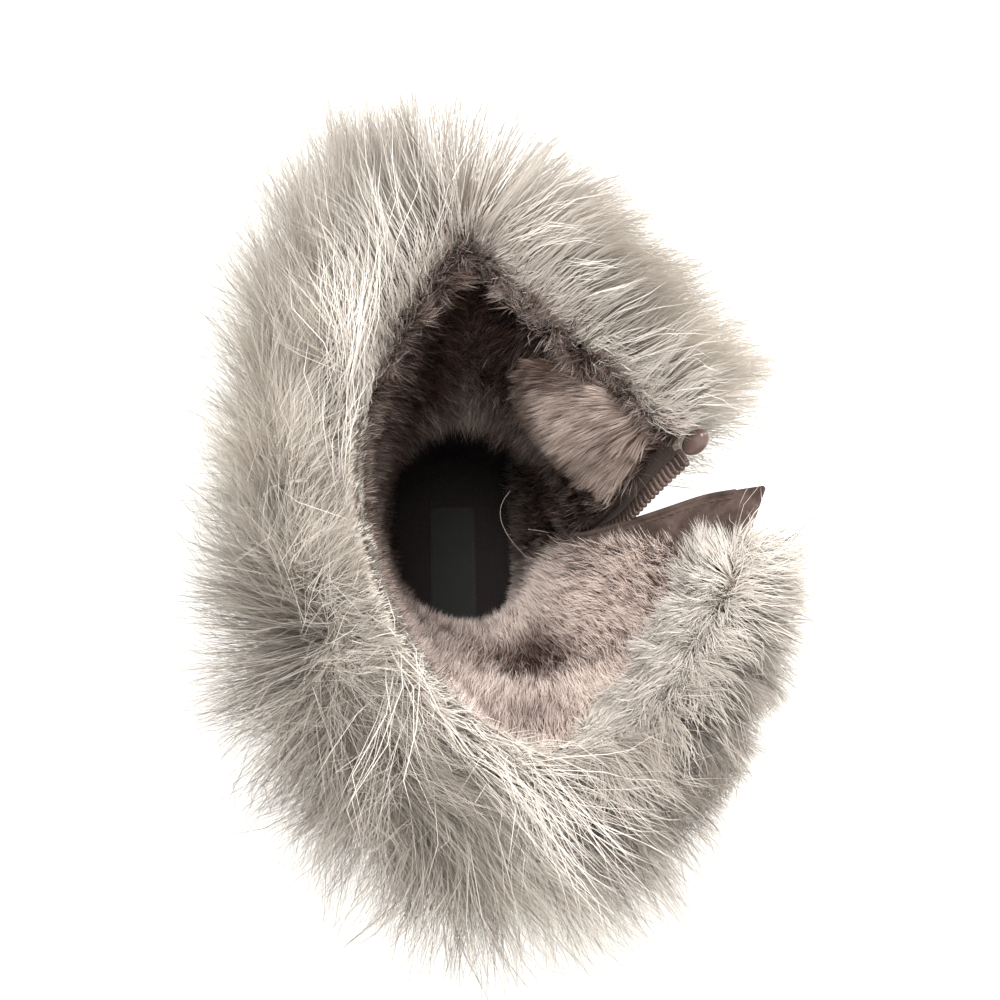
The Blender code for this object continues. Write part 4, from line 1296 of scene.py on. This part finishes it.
seamLook = {
    "stripWide": 13.0, "stripHigh": 0.9, "stripTop": 168, "stripFoot": 44,
    "facingWide": 7.5, "facingHigh": 0.8, "facingGap": 3.4, "edge": 0.35,
    "fromEdge": 1.6, "seamTop": 158, "seamFoot": 46,
}


def castPath(starts, ways):
    # where rays from outside first meet the suede
    hits = [outerTree.ray_cast(Vector(a * mm), Vector(b))[0] for a, b in zip(starts, ways)]
    return np.array([hit for hit in hits if hit is not None])


def counterPath(side, shift):
    origin, up, across = seamPlane("counter")
    rise = np.linspace(0, 1, 40)[:, None] * (seamLook["seamTop"] - seamLook["seamFoot"])
    foot = origin + np.array([0, shift, seamLook["seamFoot"] - origin[2]])
    starts = foot + up * rise + across * side * 120
    return castPath(starts, np.tile(-across * side, (len(starts), 1)))


def vampPath(shift):
    origin, up, across = seamPlane("vamp")
    turns = np.radians(np.linspace(-12, 192, 70))[:, None]
    ways = across * np.cos(turns) + up * np.sin(turns)
    middle = origin + np.array([0, shift, 34])
    return castPath(middle + ways * 160, -ways)


def backPath(x, foot, top):
    levels = np.linspace(foot, top, 40)
    starts = np.stack([np.full(40, x), np.full(40, -160.0), levels], axis=1)
    return castPath(starts, np.tile([0.0, 1.0, 0.0], (40, 1)))


def besideZip(side, away):
    # a line on the suede that runs beside a row of teeth
    sign = 1 if side == "front" else -1
    points = evenly(zipLines[side], 0.004)
    across = framesOn(points, outerTree)[2]
    return nearestOn(outerTree, points + across * (sign * away * mm))


def makeSeams(look):
    for side, name in ((1, "medial"), (-1, "lateral")):
        stitchRow("counter_stitches_" + name, counterPath(side, -2.2))
        stitchRow("counter_stitches_b_" + name, counterPath(side, -4.4))
    stitchRow("vamp_stitches", vampPath(2.0))
    stitchRow("vamp_stitches_b", vampPath(-2.0))
    half, high = look["stripWide"] / 2, look["stripHigh"]
    strip = evenly(backPath(0.0, look["stripFoot"], look["stripTop"]), 0.003)
    frames = framesOn(strip, outerTree)
    section = flatSection(-half, half, -0.6, high, look["edge"])
    sweepPiece("back_strip", strip, frames, section, suede)
    for sign, name in ((-1, "a"), (1, "b")):
        edge = frames[2] * (sign * (half - look["fromEdge"]) * mm)
        stitchRow("back_stitches_" + name, strip + edge, high)
    half, high = look["facingWide"] / 2, look["facingHigh"]
    section = flatSection(-half, half, -0.5, high, look["edge"])
    for side, sign in (("front", 1), ("rear", -1)):
        path = smoothLine(besideZip(side, look["facingGap"] + half), 4)
        frames = framesOn(path, outerTree)
        sweepPiece("zip_facing_" + side, path, frames, section, suede)
        for place, name in ((-1, "near"), (1, "far")):
            edge = frames[2] * (sign * place * (half - look["fromEdge"] + 0.4) * mm)
            stitchRow("facing_stitches_" + side + "_" + name, path + edge, high)


makeSeams(seamLook)
print("seams")


# The sole

soleLook = {"bevel": 0.7, "dark": "#2a211c", "pale": "#43362e", "grain": 1400.0,
            "gloss": (0.55, 0.8), "bump": 0.35, "grime": 0.7, "specular": 0.35}


def softEdges(node, name, width, segments=2, limit=32):
    bm = mergedCopy(node)
    settings = {"width": width * mm, "segments": segments, "limit_method": "ANGLE",
                "angle_limit": math.radians(limit), "use_clamp_overlap": True}
    return bakedMesh(bm, name, [("BEVEL", settings)])


soleMesh = softEdges("outsole", "sole", soleLook["bevel"])
addPiece("sole_rubber", soleMesh, [makeMouldedMaterial("soleRubber", soleLook)],
         ["outsole"], sharp=40)
print("sole:", len(trianglesOf(soleMesh)[0]), "triangles")


# The insole and its bare sewn patch

insoleLook = {"dark": "#292424", "pale": "#443c3a", "grain": 1500.0, "threads": 240.0,
              "ways": ("X", "Y"), "sheen": 0.3, "bump": 0.7}
patchLook = {
    "across": 24, "along": 66, "centre": (0, 16), "thick": 0.6, "corner": 1.6, "seamIn": 1.4,
    "dark": "#2f302f", "pale": "#565754", "grain": 1800.0, "threads": 700.0,
    "ways": ("X", "Y"), "sheen": 0.1, "bump": 0.5,
}
patchThread = {"length": 1.8, "gap": 0.7, "width": 0.45, "sunk": 0.0}


def makeInsole():
    mesh = softEdges("insole", "insole", 1.4, 3)
    addPiece("felt_insole", mesh, [makeClothMaterial("footbedFelt", insoleLook)],
             ["insole"], sharp=60)
    return meshTree(mesh)


def onInsole(x, y):
    hit = insoleTree.ray_cast(Vector((x * mm, y * mm, 0.1)), Vector((0, 0, -1)))
    return np.array(hit[0])


def makePatch(look):
    wide, long = look["across"] / 2, look["along"] / 2
    middleX, middleY = look["centre"]
    bm = bmesh.new()
    bmesh.ops.create_grid(bm, x_segments=12, y_segments=24, size=1)
    for vert in bm.verts:
        vert.co = onInsole(middleX + vert.co.x * wide, middleY + vert.co.y * long)
    corners = [vert for vert in bm.verts if len(vert.link_faces) == 1]
    bmesh.ops.bevel(bm, geom=corners, offset=look["corner"] * mm, segments=3, affect="VERTICES",
                    profile=0.5, material=-1)
    settings = {"thickness": look["thick"] * mm, "offset": 1.0}
    mesh = bakedMesh(bm, "patch", [("SOLIDIFY", settings), ("BEVEL", {
        "width": 0.15 * mm, "segments": 2, "limit_method": "ANGLE"})])
    addPiece("sewn_patch", mesh, [makeClothMaterial("wovenPatch", look)], sharp=40)
    wide, long = wide - look["seamIn"], long - look["seamIn"]
    corners = [(-wide, -long), (wide, -long), (wide, long), (-wide, long), (-wide, -long)]
    ring = [onInsole(middleX + x0 + (x1 - x0) * k / 10, middleY + y0 + (y1 - y0) * k / 10)
            for (x0, y0), (x1, y1) in zip(corners, corners[1:]) for k in range(10)]
    stitchRow("patch_stitches", ring, look["thick"], insoleTree, patchThread)


insoleTree = makeInsole()
makePatch(patchLook)
print("insole and patch")


# The zip: teeth, tape, knob, guard, slider and pull

zipLook = {
    "pitch": 2.75, "toothLong": 1.55, "toothWide": 4.1, "toothHigh": 2.6, "toothBevel": 0.38,
    "neckWide": 2.7, "neckHigh": 1.7,
    "openFrom": 150, "openShift": 2.4, "openWide": 5.6, "bead": 1.15, "knobLong": 1.4,
    "tapeWide": 7.0, "tapeFrom": {"front": 1.6, "rear": -0.9}, "tapeThick": 0.55, "tapeDrop": 1.15,
    "dark": "#473731", "pale": "#76615a", "grain": 2200.0, "gloss": (0.28, 0.42), "bump": 0.12,
    "coat": 0.25,
}
tapeLook = {"dark": "#33261f", "pale": "#5c4a3f", "grain": 1800.0, "threads": 520.0,
            "ways": ("X", "Z"), "turn": (0, 0, 0.4), "sheen": 0.2, "bump": 0.6}
knobLook = {"dark": "#5f4b45", "pale": "#7e6962", "grain": 900.0, "gloss": (0.12, 0.2),
            "bump": 0.05, "coat": 0.6}
metalLook = {"dark": "#4b4038", "pale": "#6d6056", "grain": 1600.0, "gloss": (0.26, 0.4),
             "bump": 0.08, "metallic": 1.0}
guardLook = {"dark": "#3a2e2a", "pale": "#685852", "patch": 34.0, "contrast": 0.7,
             "sheen": 0.35, "bump": 0.5, "grime": 0.0,
             "bound": 2.6, "boundHigh": 3.1, "boundIn": 0.7, "seamIn": 3.2}


def toothMesh(look, wide, bead=0):
    bm = bmesh.new()
    bmesh.ops.create_cube(bm, size=1)
    bmesh.ops.scale(bm, verts=bm.verts, vec=Vector((wide, look["toothLong"], look["toothHigh"])) * mm)
    bmesh.ops.bevel(bm, geom=bm.edges[:], offset=look["toothBevel"] * mm, segments=2,
                    affect="EDGES", profile=0.5, material=-1)
    if bead:
        bmesh.ops.create_uvsphere(bm, u_segments=10, v_segments=7, radius=bead * mm,
                                  matrix=Matrix.Translation((-wide / 2 * mm, 0, 0)))
    return toMesh(bm, "tooth")


def makeZip(look):
    plastic = makeMouldedMaterial("zipPlastic", look)
    tape = makeClothMaterial("zipTape", tapeLook)
    opening = look["openFrom"]
    for side, sign in (("front", 1), ("rear", -1)):
        places = evenly(zipLines[side], look["pitch"] * mm)
        ways, off, across = frames = framesOn(places, outerTree)
        isOpen = (places[:, 2] > opening * mm) & (side == "front")
        if side == "front":
            shift = look["openShift"] * ease(places[:, 2] / mm, opening - 8, opening + 14)
            places = places - across * (shift * mm)[:, None]
        rows = [("teeth_" + side, ~isOpen, toothMesh(look, look["toothWide"]), ["zip_row_" + side])]
        if isOpen.any():
            rows.append(("teeth_open", isOpen, toothMesh(look, look["openWide"], look["bead"]), []))
        for name, mine, tooth, replaced in rows:
            mesh = stamp("teeth", tooth, places[mine], ways[mine], off[mine])
            addPiece(name, mesh, [plastic], replaced, sharp=50)
        neck = roundSection(look["neckWide"], look["neckHigh"], 0)
        sweepPiece("tooth_cord_" + side, places, frames, neck, tape)
        near, far = sorted((look["tapeFrom"][side] * sign, look["tapeWide"] * sign))
        strip = flatSection(near, far, -look["tapeDrop"] - look["tapeThick"], -look["tapeDrop"], 0.1)
        sweepPiece("zip_tape_" + side, places, frames, strip, tape)
    lines = [evenly(zipLines[side], 0.002) for side in ("front", "rear")]
    levels = np.linspace(opening - 14, opening + 3, 12) * mm
    path = smoothLine([sum(line[np.argmin(abs(line[:, 2] - z))] for line in lines) / 2 for z in levels])
    web = flatSection(-5.0, 5.0, -2.1, -1.6, 0.1)
    sweepPiece("zip_web", path, framesOn(path, outerTree), web, tape)
    knob = bakedMesh(mergedCopy("zip_end_knob"), "knob", [subdivided(2)])
    points = pointsOf(knob)
    way = unit(zipLines["front"][-1] - zipLines["front"][-4])
    along = (points - points.mean(axis=0)) @ way
    setPoints(knob, points + way * ((along - along.min()) * (look["knobLong"] - 1))[:, None])
    addPiece("knob", knob, [makeMouldedMaterial("knobPlastic", knobLook)],
             ["zip_end_knob"], sharp=60)
    metal = makeMouldedMaterial("sliderMetal", metalLook)
    for node, name, body in (("zip_slider", "slider", "boot"), ("zip_pull", "pull", "pull_tab")):
        mesh = softEdges(node, name, 0.32, 3, 25)
        addPiece(name, mesh, [metal], [node], sharp=50, body=body)


def creased(bm, degrees):
    layer = bm.edges.layers.float.new("crease_edge")
    for edge in bm.edges:
        if len(edge.link_faces) == 2 and edge.calc_face_angle() > math.radians(degrees):
            edge[layer] = 1.0


def makeGuard(look):
    bm = mergedCopy("zip_guard")
    creased(bm, 50)
    mesh = bakedMesh(bm, "guard", [subdivided(3), ("BEVEL", {
        "width": 0.45 * mm, "segments": 3, "limit_method": "ANGLE",
        "angle_limit": math.radians(50)})])
    material = makeSuedeMaterial("guardSuede", look)
    addPiece("guard", mesh, [material], ["zip_guard"], sharp=60)
    makeBoundEdge(look, material)


def guardEdges():
    # the guard's free edge and its sewn edge, where planes across the zip cut it
    line = evenly(zipLines["rear"], 0.003)
    ways = runOf(line)
    whole = mergedCopy("zip_guard")
    found = []
    for point, way in zip(line, ways):
        cut = whole.copy()
        made = bmesh.ops.bisect_plane(cut, geom=cut.verts[:] + cut.edges[:] + cut.faces[:],
                                      plane_co=Vector(point), plane_no=Vector(way))
        spots = [np.array(v.co) for v in made["geom_cut"] if isinstance(v, bmesh.types.BMVert)]
        cut.free()
        if len(spots) > 3:
            spots.sort(key=lambda spot: spot[1])
            found.append(((spots[-1] + spots[-2]) / 2, (spots[0] + spots[1]) / 2))
    whole.free()
    return [smoothLine([pair[k] for pair in found], 3) for k in (0, 1)]


def makeBoundEdge(look, material):
    free, sewn = guardEdges()
    tree = meshTree(frame["nodes"]["zip_guard"].data)
    ways = runOf(free)
    toward = sewn - free
    toward = unit(squareTo(toward, ways))
    off = unit(np.cross(ways, toward))
    off = off * np.sign(off[:, 2:])
    section = [(x + look["boundIn"], y) for x, y in roundSection(look["bound"], look["boundHigh"], 0, 14)]
    sweepPiece("guard_binding", free, (off, toward), section, material, sharp=70)
    for name, line in (("free", free + toward * look["seamIn"] * mm), ("sewn", sewn - toward * 3.0 * mm)):
        stitchRow("guard_stitches_" + name, line + off * 2.0 * mm, 0.0, tree)


makeZip(zipLook)
makeGuard(guardLook)
print("zip and guard")


# Two loose hairs that lie over the opening

looseHairs = {
    "long": ((16, 35, 158), (11, 30, 156), (10, 24, 155), (14, 16, 153), (19, 11, 150), (24, 7, 146)),
    "short": ((20, 18, 160), (26, 18, 158), (32, 17, 154)),
}


def makeLooseHairs():
    material = newMaterial("looseHair", {"Base Color": hexColour("#b9aca0"), "Roughness": 0.5})[0]
    for name, route in looseHairs.items():
        points = evenly(smoothLine(evenly(np.array(route, float) * mm, 0.002), 8), 0.0012)
        ways = runOf(points)
        off = unit(np.cross(ways, np.cross([0.0, 0.0, 1.0], ways)))
        sweepPiece("loose_hair_" + name, points, (off, np.cross(ways, off)),
                   roundSection(0.2, 0.2, 0, 5), material, sharp=180)


makeLooseHairs()


# The floor, the lights and the camera

studioLook = {"floor": "#e4e2de", "world": "#f7f6f4", "worldPower": 1.28}
lights = {
    "key": ((-0.30, 0.46, 1.25), (0, 0.02, 0.20), 0.70, 12.5),
    "overhead": ((-0.10, 0.05, 1.30), (0, 0.00, 0.12), 0.40, 3.0),
    "fill": ((0.62, 0.66, 0.90), (0, 0, 0.18), 0.90, 9.0),
}
photoCamera = {
    "place": (-29.4, -27.5, 464.0),
    "focal": 785.0,          # in pixels of a picture 1000 wide
    "plumb": (399.0, 649.0),  # the pixel straight below the lens
}


def makeStudio():
    bm = bmesh.new()
    bmesh.ops.create_grid(bm, x_segments=1, y_segments=1, size=4.0)
    floor = newObject("floor", toMesh(bm, "floor"))
    floor.data.materials.append(newMaterial("paleFloor", {
        "Base Color": hexColour(studioLook["floor"]), "Roughness": 0.9, "Specular IOR Level": 0.1})[0])
    for name, (place, target, size, power) in lights.items():
        light = bpy.data.lights.new(name, "AREA")
        light.shape = "DISK"
        light.size = size
        light.energy = power
        lamp = newObject(name, light)
        lamp.location = place
        lamp.rotation_euler = (Vector(target) - lamp.location).to_track_quat("-Z", "Y").to_euler()
    bpy.context.scene.view_settings.view_transform = "Standard"
    world = bpy.data.worlds.new("studio")
    world.use_nodes = True
    connect(world.node_tree, world.node_tree.nodes["Background"],
            {0: hexColour(studioLook["world"]), 1: studioLook["worldPower"]})
    bpy.context.scene.world = world


def makeCamera(look):
    # the picture is taken as 1000 by 1000; the lens stands nearly above the collar
    across, down = look["plumb"]
    down = Vector((across - 500, 500 - down, -look["focal"])).normalized()
    forward = (Vector((0, 1, 0)) - down * down.y).normalized()
    right = forward.cross(-down)
    camera = bpy.data.cameras.new("photo camera")
    camera.lens = camera.sensor_width * look["focal"] / 1000
    camera.clip_start = 0.01
    thing = newObject("photo camera", camera)
    turn = Matrix((right, forward, -down)).to_4x4()
    thing.matrix_world = Matrix.Translation(Vector(look["place"]) * mm) @ turn
    bpy.context.scene.camera = thing


makeStudio()
makeCamera(photoCamera)
print("studio")
print("shown:", sum(len(trianglesOf(o.data)[0]) for o in bpy.context.scene.objects
                    if o.type == "MESH" and not o.hide_render), "triangles")
